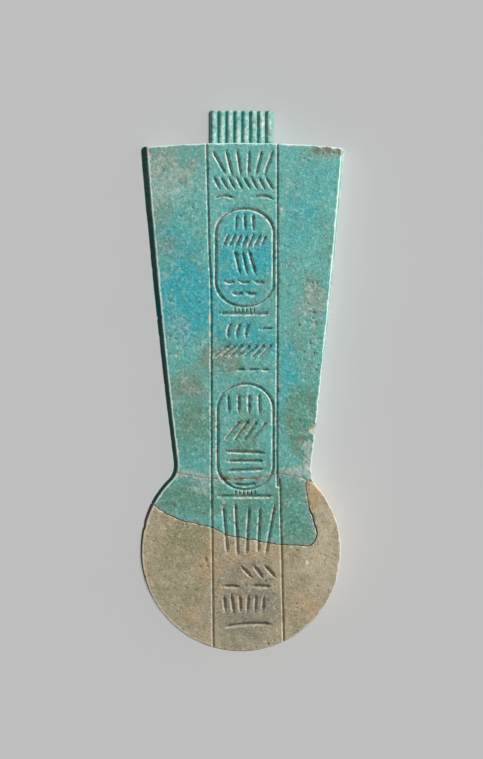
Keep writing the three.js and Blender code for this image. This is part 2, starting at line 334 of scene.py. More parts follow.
@dataclass(frozen=True)
class Keyhole:
    """Outline of the pendant, measured at the rim of its carved face."""

    length: float = 140.0
    thickness: float = 8.0
    top_half: float = 25.4
    waist_half: float = 17.1
    corner_y: float = 60.5
    top_rise: float = 1.0
    side_bow: float = 0.4
    corner_run: float = 0.9
    fillet_run: float = 3.0
    disc_radius: float = 25.85
    disc_x: float = -0.75
    draft_at_top: float = 1.3
    draft_at_waist: float = 0.65
    draft_at_disc: float = 0.1
    back_edge: float = 0.6
    rim_step: float = 0.22

    @property
    def disc_y(self) -> float:
        """Height of the disc's middle."""
        return self.disc_radius - self.length / 2

    @property
    def waist_y(self) -> float:
        """Height of the waist, where the blade meets the disc."""
        return self.disc_y + math.sqrt(self.disc_radius**2 - self.waist_half**2)

    def on_disc(self, angle: Array | float) -> Array:
        """Points on the disc's edge."""
        turned = np.stack([np.cos(angle), np.sin(angle)], axis=-1)
        return np.array([self.disc_x, self.disc_y]) + self.disc_radius * turned

    def side(self, start: Array, end: Array) -> Array:
        """Points down or up one bowed side of the blade.

        Args:
            start: First end of the side.
            end: Last end of the side.

        Returns:
            The points, one row each, without the last end.
        """
        middle = (start + end) / 2
        middle[0] += math.copysign(2 * self.side_bow, middle[0])
        return bezier(start, middle, end, 60)

    def rim(self) -> Line:
        """The rim, anticlockwise seen from the front, from the right end of the top edge.

        Returns:
            The closed line of the rim.
        """
        right_angle = math.acos((self.waist_half - self.disc_x) / self.disc_radius)
        left_angle = math.acos((-self.waist_half - self.disc_x) / self.disc_radius)
        fillet = self.fillet_run / self.disc_radius
        arch = np.array([0.0, self.corner_y + self.top_rise])
        corner_right = np.array([self.top_half, self.corner_y])
        corner_left = np.array([-self.top_half, self.corner_y])
        waist_right = self.on_disc(right_angle)
        waist_left = self.on_disc(left_angle)

        def near(start: Array, end: Array, run: float) -> Array:
            """A point a short run from one point towards another."""
            return start + (end - start) * run / np.linalg.norm(end - start)

        top_from = near(corner_right, arch, self.corner_run)
        top_to = near(corner_left, arch, self.corner_run)
        left_from = near(corner_left, waist_left, self.corner_run)
        left_to = near(waist_left, corner_left, self.fillet_run)
        right_from = near(waist_right, corner_right, self.fillet_run)
        right_to = near(corner_right, waist_right, self.corner_run)
        disc_from = left_angle + fillet
        disc_to = right_angle - fillet + 2 * math.pi
        arch_control = np.array([0.0, self.corner_y + 2 * self.top_rise])
        stretches = [
            bezier(top_from, arch_control, top_to, 60),
            bezier(top_to, corner_left, left_from, 8),
            self.side(left_from, left_to),
            bezier(left_to, waist_left, self.on_disc(disc_from), 12),
            self.on_disc(np.linspace(disc_from, disc_to, 400, endpoint=False)),
            bezier(self.on_disc(disc_to), waist_right, right_from, 12),
            self.side(right_from, right_to),
            bezier(right_to, corner_right, top_from, 8),
        ]
        return Line(np.vstack(stretches), closed=True).spaced(self.rim_step)

    def draft(self, points: Array, normals: Array) -> Array:
        """How far the wall spreads from the rim to the back.

        Args:
            points: Places on the rim.
            normals: Outward normals there.

        Returns:
            The spread at each place.
        """
        y = points[:, 1]
        rise = (y - self.waist_y) / (self.corner_y - self.waist_y)
        upper = self.draft_at_waist + (self.draft_at_top - self.draft_at_waist) * rise
        fade = smooth_step(self.disc_y, self.waist_y, y)
        lower = self.draft_at_disc + (self.draft_at_waist - self.draft_at_disc) * fade
        return np.where(y > self.waist_y, upper, lower) * np.abs(normals[:, 0])


@dataclass(frozen=True)
class RibbedTab:
    """The tab on the top edge, with its row of half-round ribs."""

    half: float = 8.25
    x: float = -0.6
    ribs: int = 8
    top_y: float = 70.0
    back_z: float = 1.0
    valley_z: float = 5.6
    rib_rise: float = 0.9
    scallop: float = 0.25
    end_round: float = 0.45
    root_gap: float = 0.04
    columns_per_rib: int = 12
    row_step: float = 0.45

    @property
    def left(self) -> float:
        """The left side."""
        return self.x - self.half

    @property
    def right(self) -> float:
        """The right side."""
        return self.x + self.half

    def rib(self, x: Array) -> Array:
        """Height of the ribs, from 0 in a valley to 1 on a crest.

        Args:
            x: Places across the tab.

        Returns:
            The height at each place.
        """
        pitch = 2 * self.half / self.ribs
        across = np.mod((x - self.left) / pitch, 1.0) * 2 - 1
        return np.sqrt(np.clip(1 - across**2, 0.0, 1.0))

    def end_y(self, x: Array) -> Array:
        """The scalloped upper end."""
        return self.top_y - self.scallop * (1 - self.rib(x))

    def columns(self) -> Array:
        """Places across the tab where its ribs are sampled."""
        return np.linspace(self.left, self.right, self.ribs * self.columns_per_rib + 1)

    def outline(self, root_left: float, root_right: float) -> Array:
        """Points up the right side, across the end and down the left side.

        Args:
            root_left: Height of the blade's top edge at the left side.
            root_right: Height of it at the right side.

        Returns:
            The points, one row each.
        """
        right = np.arange(root_right + self.root_gap, self.top_y - self.scallop - 0.1, self.row_step)
        left = np.arange(root_left + self.root_gap, self.top_y - self.scallop - 0.1, self.row_step)[::-1]
        across = self.columns()[::-1]
        return np.vstack([
            np.column_stack([np.full(len(right), self.right), right]),
            np.column_stack([across, self.end_y(across)]),
            np.column_stack([np.full(len(left), self.left), left]),
        ])

    def outward(self, points: Array) -> Array:
        """Outward directions round the tab, as if its end were straight.

        Args:
            points: Places on the tab's edge.

        Returns:
            A unit direction for each place.
        """
        on_end = points[:, 1] > self.top_y - self.scallop - 0.05
        sideways = np.column_stack([np.sign(points[:, 0] - self.x), np.zeros(len(points))])
        return np.where(on_end[:, None], [0.0, 1.0], sideways)

    def height(self, points: Array) -> Array:
        """Height of the ribbed side.

        Args:
            points: Places on the tab.

        Returns:
            The height at each place.
        """
        x, y = points.T
        fall = quarter_round(self.end_y(x) - y, self.end_round)
        return self.valley_z + self.rib_rise * self.rib(x) - fall


@dataclass(frozen=True)
class StrokeRow:
    """A row of plain strokes across the column, their leans in degrees off upright."""

    y: float
    start: float
    end: float
    count: int
    length: float
    lean: tuple[float, float] = (90.0, 90.0)
    bow: float = 0.0


@dataclass(frozen=True)
class OvalRing:
    """An oval ring with straight sides, and the bar tied across its foot."""

    x: float
    top: float
    bottom: float
    half: float
    tie_length: float
    tie_y: float
    end_rise: float = 6.4

    def outline(self) -> Line:
        """The ring's centre line.

        Returns:
            The closed line.
        """
        turn = np.linspace(0.0, math.pi, 80)
        upper = np.column_stack([np.cos(turn) * self.half, np.sin(turn) * self.end_rise])
        lower = -upper
        upper = upper + [self.x, self.top - self.end_rise]
        lower = lower + [self.x, self.bottom + self.end_rise]
        return Line(np.vstack([upper, lower]), closed=True).spaced(0.15)


@dataclass(frozen=True)
class Groove:
    """One cut in the face, along a line."""

    line: Line
    half_width: float
    depth: float
    seed: int
    taper: float = 0.5
    blunt: float = 0.6
    unevenness: float = 0.14
    wander_wave: float = 1.6
    lip_reach: float = 0.3

    ROWS = (-1.25, -1.02, -0.85, -0.6, -0.3, 0.0, 0.3, 0.6, 0.85, 1.02, 1.25)
    WALL_SLOPE = 1.08
    FLOOR_START = 0.92
    FLOOR_SLOPE = 0.08
    EDGE_RUN = 0.25
    EDGE_POWER = 0.3
    LIP_PLACE = 0.35
    LIP_SPREAD = 0.32
    LIP_RUN = 0.12
    BOTTOM = (0.45, 0.85)

    def samples(self) -> Array:
        """Places along the cut where the mesh needs points."""
        return np.vstack([self.line.shifted(share * self.half_width).points for share in self.ROWS])

    def read(self, points: Array) -> tuple[Array, Array, Array, Array]:
        """Reads the cut at places on the face.

        Args:
            points: The places, one row each.

        Returns:
            The indices of the places on or beside the cut, and the depth, the closeness to the bottom
            of the cut and the closeness to its lip at each of them.
        """
        margin = self.half_width * (1 + self.unevenness) + self.lip_reach
        low = self.line.points.min(axis=0) - margin
        high = self.line.points.max(axis=0) + margin
        near = np.nonzero(np.all((points > low) & (points < high), axis=1))[0]
        distance, position = self.line.nearest(points[near])
        wander = 1 + self.unevenness * Grain(self.seed).along(position, self.wander_wave)
        share = np.ones(len(near))
        if not self.line.closed:
            from_end = np.minimum(position, self.line.length - position)
            share = np.clip(from_end / self.taper, self.blunt, 1.0)
        width = self.half_width * share * wander
        inward = np.clip(1 - distance / width, 0.0, 1.0)
        sunk = np.minimum(self.WALL_SLOPE * inward, self.FLOOR_START + self.FLOOR_SLOPE * inward)
        sunk = sunk * smooth_step(0.0, self.EDGE_RUN, inward) ** self.EDGE_POWER
        lip = np.exp(-(((inward - self.LIP_PLACE) / self.LIP_SPREAD) ** 2))
        lip = lip * smooth_step(0.0, self.LIP_RUN, inward) * share
        return near, self.depth * sunk * share, smooth_step(*self.BOTTOM, inward) * share, lip


@dataclass(frozen=True)
class Carving:
    """All the cuts in the face: two ruled lines, two tied rings and the rows of strokes between them."""

    step: float = 0.16
    rule_half_width: float = 0.46
    rule_depth: float = 0.42
    ring_half_width: float = 0.58
    ring_depth: float = 0.5
    stroke_half_width: float = 0.62
    stroke_depth: float = 0.55
    tie_half_width: float = 0.7
    lash_count: int = 6
    lash_half: float = 2.5
    lash_length: float = 2.2
    lash_half_width: float = 0.26
    lash_lift: float = 0.8
    length_wander: float = 0.07
    lean_wander: float = 3.0
    left_rule: tuple = ((-9.9, 63), (-9.2, 33.9), (-8.7, 20.9), (-8.6, -23.2), (-8.4, -41.4), (-8.1, -72))
    right_rule: tuple = ((8.5, 63), (8.5, 20.9), (8.4, -24), (9.1, -26.3), (9.5, -42.7), (10.2, -72))
    rings: tuple[OvalRing, ...] = (
        OvalRing(x=0.0, top=44.4, bottom=19.1, half=7.5, tie_length=12.5, tie_y=17.3),
        OvalRing(x=0.2, top=-0.9, bottom=-28.2, half=7.2, tie_length=13.4, tie_y=-29.9),
    )
    rows: tuple[StrokeRow, ...] = (
        StrokeRow(56.3, -6.6, 6.2, 6, 6.4, (-26, 22)),
        StrokeRow(51.0, -7.2, 6.4, 8, 3.0, (-28, -28)),
        StrokeRow(47.1, -5.4, 4.8, 2, 4.6, bow=0.6),
        StrokeRow(40.9, -2.2, 2.2, 3, 3.6, (0, 0)),
        StrokeRow(36.1, -4.9, 4.9, 7, 3.4, (24, 24)),
        StrokeRow(30.6, -1.9, 1.9, 3, 5.6, (-14, -14)),
        StrokeRow(25.7, -3.8, 3.8, 3, 2.6, bow=-0.4),
        StrokeRow(22.7, -1.8, 1.8, 2, 2.6, bow=-0.4),
        StrokeRow(13.0, -3.8, 0.8, 3, 3.8, (14, 14), 0.4),
        StrokeRow(13.4, 5.7, 5.7, 1, 3.2),
        StrokeRow(7.6, -6.0, 5.4, 7, 5.0, (50, 44)),
        StrokeRow(2.8, -1.0, 5.2, 3, 2.4),
        StrokeRow(-5.9, -4.2, 3.8, 4, 4.6, (0, 0)),
        StrokeRow(-13.0, -3.2, 3.8, 4, 6.2, (36, 36)),
        StrokeRow(-18.5, 0.2, 0.2, 1, 9.4),
        StrokeRow(-20.8, 0.2, 0.2, 1, 9.8),
        StrokeRow(-23.1, 0.2, 0.2, 1, 9.0),
        StrokeRow(-26.6, 0.2, 0.2, 1, 6.0, bow=-0.5),
        StrokeRow(-38.6, -5.0, 6.6, 5, 11.8, (-5, 8)),
        StrokeRow(-49.4, 0.4, 6.6, 3, 3.6, (-40, -40)),
        StrokeRow(-53.2, -3.4, 4.4, 2, 4.4),
        StrokeRow(-57.6, -5.2, 4.8, 6, 3.8, (-8, 8)),
        StrokeRow(-63.3, 0.9, 0.9, 1, 12.0, bow=0.4),
    )

    def stroke(self, x: float, y: float, length: float, lean: float, bow: float) -> Line:
        """Centre line of one stroke.

        Args:
            x: Middle of the stroke, across the column.
            y: Middle of the stroke, along the column.
            length: Its length.
            lean: Its lean in degrees off upright.
            bow: How far its middle is bowed sideways.

        Returns:
            The line.
        """
        turn = math.radians(lean)
        along = np.array([math.sin(turn), math.cos(turn)])
        aside = np.array([-along[1], along[0]])
        middle = np.array([x, y])
        start = middle - along * length / 2
        end = middle + along * length / 2
        curve = np.vstack([bezier(start, middle + 2 * bow * aside, end, 40), end])
        return Line(curve).spaced(self.step)

    def strokes_of(self, row: StrokeRow) -> list[Line]:
        """Centre lines of a row's strokes, each a little different in length and lean.

        Args:
            row: The row.

        Returns:
            The lines, from left to right.
        """
        lines = []
        for index in range(row.count):
            share = index / (row.count - 1) if row.count > 1 else 0.5
            x = row.start + (row.end - row.start) * share
            length = row.length * (1 + self.length_wander * math.sin(5 * x + row.y))
            lean = row.lean[0] + (row.lean[1] - row.lean[0]) * share
            lean += self.lean_wander * math.sin(5 * row.y + x)
            lines.append(self.stroke(x, row.y, length, lean, row.bow))
        return lines

    def grooves(self) -> list[Groove]:
        """Every cut in the face.

        Returns:
            The cuts, each with a seed of its own.
        """
        cuts: list[tuple[Line, float, float]] = []
        for rule in (self.left_rule, self.right_rule):
            line = Line(catmull_rom(np.array(rule, float), 400)).spaced(self.step)
            cuts.append((line, self.rule_half_width, self.rule_depth))
        for ring in self.rings:
            cuts.append((ring.outline(), self.ring_half_width, self.ring_depth))
            bar = self.stroke(ring.x, ring.tie_y, ring.tie_length, 90.0, 0.0)
            cuts.append((bar, self.tie_half_width, self.stroke_depth))
            for x in np.linspace(-self.lash_half, self.lash_half, self.lash_count):
                lash = self.stroke(ring.x + x, ring.tie_y + self.lash_lift, self.lash_length, 0.0, 0.0)
                cuts.append((lash, self.lash_half_width, self.stroke_depth))
        for row in self.rows:
            for line in self.strokes_of(row):
                cuts.append((line, self.stroke_half_width, self.stroke_depth))
        return [Groove(line, width, depth, seed) for seed, (line, width, depth) in enumerate(cuts)]


@dataclass(frozen=True)
class BreakLine:
    """An old break across the pendant, with half of its gap at shares of its length."""

    pairs: tuple[tuple[float, float], ...]
    half_gap: tuple[tuple[float, float], ...]
    jag: tuple[float, float]
    seed: int
    step: float = 0.2
    coarse_wave: float = 1.9
    fine_wave: float = 0.6
    fine_share: float = 0.5
    fine_start: float = 50.0

    def line(self) -> Line:
        """The jagged line of the break, from left to right.

        Returns:
            The open line.
        """
        smooth = Line(catmull_rom(np.array(self.pairs, float), 600)).spaced(self.step)
        grain = Grain(self.seed)
        distance = smooth.reach
        coarse = grain.along(distance, self.coarse_wave)
        fine = grain.along(distance + self.fine_start, self.fine_wave)
        size = np.interp(distance, (0.0, smooth.length), self.jag)
        return smooth.shifted(size * (coarse + self.fine_share * fine))

    def side(self, sign: float) -> Line:
        """One edge of the break.

        Args:
            sign: 1 for the edge above the break, -1 for the edge below it.

        Returns:
            The edge, from left to right.
        """
        line = self.line()
        shares, halves = zip(*self.half_gap)
        half = np.interp(line.reach / line.length, shares, halves)
        return line.shifted(-sign * half)


@dataclass(frozen=True)
class Blemish:
    """A chip, pit or stain at a place on the face."""

    x: float
    y: float
    radius: float
    depth: float = 0.0
    loss: float = 1.0
    stain: float = 0.0
    stretch: float = 1.0


@dataclass(frozen=True)
class RoughPatch:
    """A loose cluster of pits: its middle, its spread each way and their number."""

    x: float
    y: float
    rx: float
    ry: float
    pits: int


@dataclass(frozen=True)
class Zone:
    """A soft oval of one tone on the face."""

    x: float
    y: float
    rx: float
    ry: float
    strength: float

    FADE = (0.25, 1.35)

    def weight(self, points: Array) -> Array:
        """How strongly the tone shows at each place."""
        away = np.hypot((points[:, 0] - self.x) / self.rx, (points[:, 1] - self.y) / self.ry)
        return self.strength * (1 - smooth_step(*self.FADE, away))


BLEMISHES: tuple[Blemish, ...] = (
    Blemish(18.1, -12.6, 1.15, 0.8, 0.6, 0.55, stretch=1.25),
    Blemish(17.2, -12.9, 0.6, 0.1, 1.0),
    Blemish(18.5, 59.4, 1.2, 0.08, 0.0, 0.7),
    Blemish(21.6, 60.0, 1.1, 0.1, 0.0, 0.8),
    Blemish(24.4, 59.0, 1.3, 0.25, 0.2, 0.8),
    Blemish(18.7, 25.5, 0.5, 0.14, 0.4, 0.3),
    Blemish(18.0, 17.6, 0.5, 0.2, 0.4, 1.0),
    Blemish(18.3, 14.5, 0.7, 0.22, 0.5, 0.5),
    Blemish(14.1, 14.3, 0.35, 0.3, 0.0, 1.0),
    Blemish(18.0, 7.0, 0.5, 0.2, 0.3, 1.0),
    Blemish(9.8, 44.3, 0.55, 0.14, 1.0),
    Blemish(-13.4, 44.6, 0.26, 0.3, 0.0, 1.0),
    Blemish(-16.6, 42.5, 0.24, 0.26, 0.0, 1.0),
    Blemish(-15.4, 51.2, 1.0, 0.0, 0.0, 0.5),
    Blemish(-17.5, 6.5, 0.5, 0.12, 0.8, 0.1),
    Blemish(14.6, -15.4, 1.5, 0.03, 0.0, 0.45),
    Blemish(11.8, -10.5, 1.4, 0.03, 0.0, 0.35),
    Blemish(13.2, -18.4, 1.2, 0.03, 0.0, 0.3),
    Blemish(-24.9, 58.6, 0.8, 0.2, 0.6, stretch=2.0),
    Blemish(16.8, -21.8, 0.9, 0.2, 0.4, stretch=1.8),
    Blemish(17.2, -24.6, 0.8, 0.3, 0.4, 0.3),
    Blemish(-8.9, 16.2, 0.4, 0.06, 0.9, 0.2, stretch=2.6),
    Blemish(-8.9, 12.0, 0.35, 0.06, 0.9, 0.1, stretch=2.6),
    Blemish(-7.0, 3.4, 1.1, 0.06, 0.4, 0.3, stretch=0.6),
    Blemish(-4.8, -25.3, 1.3, 0.05, 0.0, 1.0, stretch=0.5),
    Blemish(-1.2, -25.5, 1.9, 0.05, 0.3, 1.0, stretch=0.32),
    Blemish(2.9, -25.3, 1.6, 0.05, 0.3, 1.0, stretch=0.36),
    Blemish(5.8, -24.9, 0.6, 0.05, 0.0, 0.8, stretch=0.6),
    Blemish(8.4, -23.8, 0.4, 0.05, 0.0, 0.6, stretch=1.4),
    Blemish(-7.4, -25.2, 0.6, 0.0, 0.0, 0.6, stretch=0.5),
    Blemish(16.4, -46.9, 0.6, 0.1, 1.0),
    Blemish(-10.0, -46.2, 0.5, 0.2, 0.0, 0.4, stretch=1.6),
    Blemish(-11.6, -48.0, 0.4, 0.15, 0.0, 0.35),
)

Tones = dict[Mask, tuple[Zone, ...]]

BUFF_TONES: Tones = {
    Mask.BLUE: (
        Zone(0.5, -56.0, 9.0, 15.0, 1.0),
    ),
    Mask.WARM: (
        Zone(-8.5, -46.0, 3.5, 10.0, 0.8),
        Zone(19.0, -29.0, 4.0, 6.0, 0.85),
        Zone(14.0, -58.0, 6.0, 8.0, 0.5),
        Zone(5.0, -44.0, 6.0, 3.0, 0.6),
    ),
    Mask.GREEN: (
        Zone(-14.5, -42.0, 9.0, 8.0, 0.95),
        Zone(12.5, -46.0, 4.0, 5.0, 0.7),
        Zone(-14.0, -56.0, 7.0, 8.0, 0.45),
    ),
    Mask.PALE: (
        Zone(18.0, -47.0, 8.0, 11.0, 0.9),
        Zone(21.0, -36.0, 4.0, 8.0, 1.0),
        Zone(-20.0, -50.0, 4.0, 9.0, 0.4),
    ),
}

GLAZE_TONES: Tones = {
    Mask.PALE: (
        Zone(16.2, -20.5, 2.6, 6.5, 1.0),
        Zone(12.5, -24.2, 6.0, 1.8, 1.0),
        Zone(-14.0, -24.0, 6.0, 1.4, 0.9),
        Zone(-11.0, -26.5, 4.0, 2.0, 0.5),
        Zone(-20.0, 52.0, 10.0, 10.0, 0.5),
        Zone(-19.0, 15.0, 4.0, 8.0, 0.4),
        Zone(17.0, 20.0, 5.0, 6.0, 0.3),
    ),
    Mask.BLUE: (
        Zone(-15.5, 21.0, 12.0, 15.0, 1.0),
        Zone(-18.0, 36.0, 9.0, 11.0, 0.55),
        Zone(-0.4, 30.0, 10.0, 15.0, 0.85),
        Zone(19.0, 52.5, 8.0, 8.0, 0.4),
        Zone(14.0, 42.0, 9.0, 13.0, 0.45),
        Zone(11.5, 2.0, 4.5, 13.0, 0.8),
        Zone(-4.0, 12.0, 6.0, 8.0, 0.7),
        Zone(3.5, 10.0, 6.0, 7.0, 0.85),
        Zone(-14.0, -19.0, 4.0, 3.5, 0.5),
    ),
    Mask.WARM: (
        Zone(-20.0, 56.0, 14.0, 9.0, 0.7),
        Zone(-22.5, 43.0, 5.0, 9.0, 0.7),
        Zone(-15.0, -1.0, 9.0, 6.0, 0.85),
        Zone(-7.0, 5.0, 7.0, 5.0, 0.8),
        Zone(-20.0, 33.0, 5.0, 8.0, 0.5),
        Zone(-15.0, -12.0, 5.0, 7.0, 0.5),
        Zone(-4.5, 2.6, 7.0, 5.0, 0.8),
        Zone(17.0, 21.0, 6.0, 10.0, 0.65),
        Zone(15.5, 8.0, 7.0, 8.0, 0.5),
        Zone(13.0, 52.0, 6.0, 6.0, 0.4),
        Zone(22.0, 60.0, 7.0, 3.0, 0.9),
        Zone(0.0, -8.0, 6.0, 7.0, 0.35),
    ),
    Mask.GREEN: (
        Zone(15.4, -10.0, 7.0, 17.0, 1.0),
        Zone(-14.0, -12.0, 9.0, 9.0, 1.0),
        Zone(14.0, -34.0, 10.0, 12.0, 1.0),
        Zone(-12.0, -30.0, 13.0, 9.0, 1.0),
        Zone(1.0, -34.0, 10.0, 9.0, 0.9),
        Zone(0.0, -14.0, 7.0, 14.0, 0.75),
        Zone(-3.0, 6.0, 8.0, 8.0, 0.6),
        Zone(22.0, 35.0, 5.0, 14.0, 0.5),
    ),
}


@dataclass
class PendantForm:
    """The whole pendant: its rim, cuts, breaks and blemishes, which its three pieces share."""

    keyhole: Keyhole = Keyhole()
    tab: RibbedTab = RibbedTab()
    carving: Carving = Carving()
    grain_seed: int = 41
    rim_wear: float = 0.36
    rim_wear_swing: float = 0.2
    rim_hollows: tuple[tuple[float, float], ...] = ((5.0, 0.05), (1.1, 0.025))
    nick_seed: int = 5
    nicks: int = 18
    nick_depth: tuple[float, float] = (0.04, 0.17)
    nick_length: tuple[float, float] = (0.25, 0.8)
    chip_bite: float = 0.4
    undulations: tuple[tuple[float, float], ...] = ((17.0, 0.07), (6.0, 0.035), (1.6, 0.012))
    raggedness: tuple[tuple[float, float, float], ...] = ((0.0, 0.8, 0.45), (31.0, 0.35, 0.25))
    wear_waves: tuple[tuple[float, float, float], ...] = ((0.0, 3.1, 1.0), (90.0, 0.9, 0.6))
    tone_wave: float = 5.0
    tone_wander: float = 2.2
    waist: BreakLine = BreakLine(
        pairs=(
            (-30, -22.6), (-18.9, -23.6), (-14.2, -24.5), (-7.7, -25.4), (1.4, -25.4),
            (8.7, -24.2), (14.4, -25.1), (18.5, -26.3), (30, -27.6),
        ),
        half_gap=((0.0, 0.016), (1.0, 0.016)),
        jag=(0.13, 0.13),
        seed=7,
    )
    fill: BreakLine = BreakLine(
        pairs=(
            (-30, -27.2), (-25.1, -30.7), (-20.7, -34.1), (-15.2, -36.3), (-8.8, -37.7), (-3.9, -40.1),
            (1.2, -40.9), (8.5, -42.3), (14, -42.5), (17.2, -42.6), (18.7, -39.9), (17.8, -35.7),
            (16.6, -32.1), (15.8, -26.8), (16.1, -25.4), (16.2, -18),
        ),
        half_gap=((0, 0.09), (0.6, 0.09), (0.7, 0.16), (0.79, 0.18), (0.82, 0.08), (1, 0.04)),
        jag=(0.26, 0.05),
        seed=11,
    )

    def __post_init__(self) -> None:
        """Lays out everything that the pieces share."""
        self.grooves = self.carving.grooves()
        self.grain = Grain(self.grain_seed)
        self.rim = self.worn_rim()
        self.above_waist = self.waist.side(1.0)
        self.below_waist = self.waist.side(-1.0)
        self.inside_fill = self.fill.side(1.0)
        self.outside_fill = self.fill.side(-1.0)

    def worn_rim(self) -> Line:
        """The rim with its small hollows and nicks, all inside the true outline.

        Returns:
            The closed line of the rim.
        """
        rim = self.keyhole.rim()
        distance = rim.reach[:-1]
        draw = np.random.default_rng(self.nick_seed)
        inward = np.zeros(len(distance))
        for wave, size in self.rim_hollows:
            inward = inward + size * (1 + self.grain.along(distance, wave))
        for _ in range(self.nicks):
            place = draw.uniform(0.0, rim.length)
            depth = draw.uniform(*self.nick_depth)
            reach = draw.uniform(*self.nick_length)
            inward = inward + depth * np.exp(-(((distance - place) / reach) ** 2))
        edge_chip = BLEMISHES[0]
        away = np.linalg.norm(rim.points - [edge_chip.x, edge_chip.y], axis=1)
        inward = inward + self.chip_bite * np.exp(-((away / edge_chip.radius) ** 2))
        return rim.shifted(-inward)

    def outward(self, points: Array) -> Array:
        """Outward directions of the unworn rim.

        Args:
            points: Places on the face. Each takes the direction at the closest part of the rim.

        Returns:
            A direction for each place.
        """
        rim = self.keyhole.rim()
        _, place = rim.nearest(points)
        normals = np.vstack([rim.normals(), rim.normals()[:1]])
        return np.column_stack([np.interp(place, rim.reach, normals[:, axis]) for axis in (0, 1)])

    def top_edge(self, x: Array) -> Array:
        """How far up the blade its top edge is.

        Args:
            x: Places across the blade.

        Returns:
            The y of the edge at each place.
        """
        top = self.rim.points[self.rim.points[:, 1] > self.keyhole.corner_y - 0.2]
        order = np.argsort(top[:, 0])
        return np.interp(x, top[order, 0], top[order, 1])

    def cuts(self, points: Array) -> tuple[Array, Array, Array]:
        """Reads all the cuts at places on the face.

        Args:
            points: The places, one row each.

        Returns:
            The depth of the cuts, the closeness to the bottom of a cut and the closeness to a lip.
        """
        depth, share, lip = np.zeros((3, len(points)))
        for groove in self.grooves:
            near, sunk, cut, edge = groove.read(points)
            depth[near] = np.maximum(depth[near], sunk)
            share[near] = np.maximum(share[near], cut)
            lip[near] = np.maximum(lip[near], edge)
        return depth, share, lip

    def undulation(self, points: Array) -> Array:
        """How far the hand-smoothed face lies below flat.

        Args:
            points: Places on the face.

        Returns:
            The fall at each place.
        """
        fall = np.zeros(len(points))
        for wave, size in self.undulations:
            fall = fall + size * (1 + self.grain.at(points, wave)) / 2
        return fall

    def blemishes(self, points: Array) -> tuple[Array, Array, Array]:
        """Reads the chips, pits and stains at places on the face.

        Args:
            points: The places, one row each.

        Returns:
            Their depth, how far the bare body shows and how stained it is.
        """
        depth, loss, stain = np.zeros((3, len(points)))
        ragged = np.ones(len(points))
        for start, wave, size in self.raggedness:
            ragged = ragged + size * self.grain.at(points + start, wave)
        for mark in BLEMISHES:
            across = np.hypot(points[:, 0] - mark.x, (points[:, 1] - mark.y) / mark.stretch)
            share = 1 - np.clip(across / (mark.radius * np.maximum(ragged, 0.3)), 0.0, 1.0) ** 2
            depth = np.maximum(depth, mark.depth * share)
            loss = np.maximum(loss, mark.loss * smooth_step(0.0, 0.35, share))
            stain = np.maximum(stain, mark.stain * smooth_step(0.0, 0.8, share))
        return depth, loss, stain

    def tone(self, zones: tuple[Zone, ...], points: Array) -> Array:
        """How strongly a broad tone shows.

        Args:
            zones: The ovals of the tone.
            points: Places on the face.

        Returns:
            The strength at each place.
        """
        wobble = np.column_stack([self.grain.at(points + start, self.tone_wave) for start in (0.0, 60.0)])
        return np.max([zone.weight(points + self.tone_wander * wobble) for zone in zones], axis=0)


@dataclass
class Boundary:
    """The closed edge of a piece's face, anticlockwise."""

    points: Array
    kinds: Array
    normals: Array

    @classmethod
    def of(cls, stretches: list[tuple[Edge, Array]]) -> "Boundary":
        """Joins stretches of edge, in order.

        Args:
            stretches: The kind and the points of each stretch. Neighbours share their end points.

        Returns:
            The boundary, with each shared point once. A shared point counts as rim before break.
        """
        points, kinds, normals = [], [], []
        for index, (kind, line) in enumerate(stretches):
            after_break = stretches[index - 1][0] is Edge.BREAK
            first = 0 if kind is not Edge.BREAK or after_break else 1
            last = len(line) if kind is not Edge.BREAK else len(line) - 1
            points.append(line[first:last])
            kinds.append(np.full(last - first, kind.value))
            normals.append(Line(line).normals()[first:last])
        return cls(np.vstack(points), np.concatenate(kinds), np.vstack(normals))

    def is_kind(self, kind: Edge) -> Array:
        """Which of the points are of one kind."""
        return self.kinds == kind.value


def triangulate(boundary: Array, inner: Array) -> tuple[Array, Array, Array]:
    """Fills a closed boundary with triangles.

    Args:
        boundary: The boundary's points, anticlockwise.
        inner: Further points. Those outside the boundary are left out.

    Returns:
        The points used, the triangles, and the index among the points of each boundary point.
    """
    everything = np.vstack([boundary, inner])
    loop = list(range(len(boundary)))
    flat = [Vector((x, y)) for x, y in everything]
    coords, _, faces, sources, _, owners = delaunay_2d_cdt(flat, [], [loop], 1, 1e-7, True)
    triangles = np.array([face for face, owner in zip(faces, owners) if owner], int)
    used, packed = np.unique(triangles, return_inverse=True)
    points = np.array([coords[index] for index in used])
    triangles = packed.reshape(-1, 3)
    corner = points[triangles]
    clockwise = cross(corner[:, 1] - corner[:, 0], corner[:, 2] - corner[:, 0]) < 0
    triangles[clockwise] = triangles[clockwise][:, ::-1]
    place = {source: new for new, index in enumerate(used) for source in sources[index]}
    return points, triangles, np.array([place[index] for index in loop])


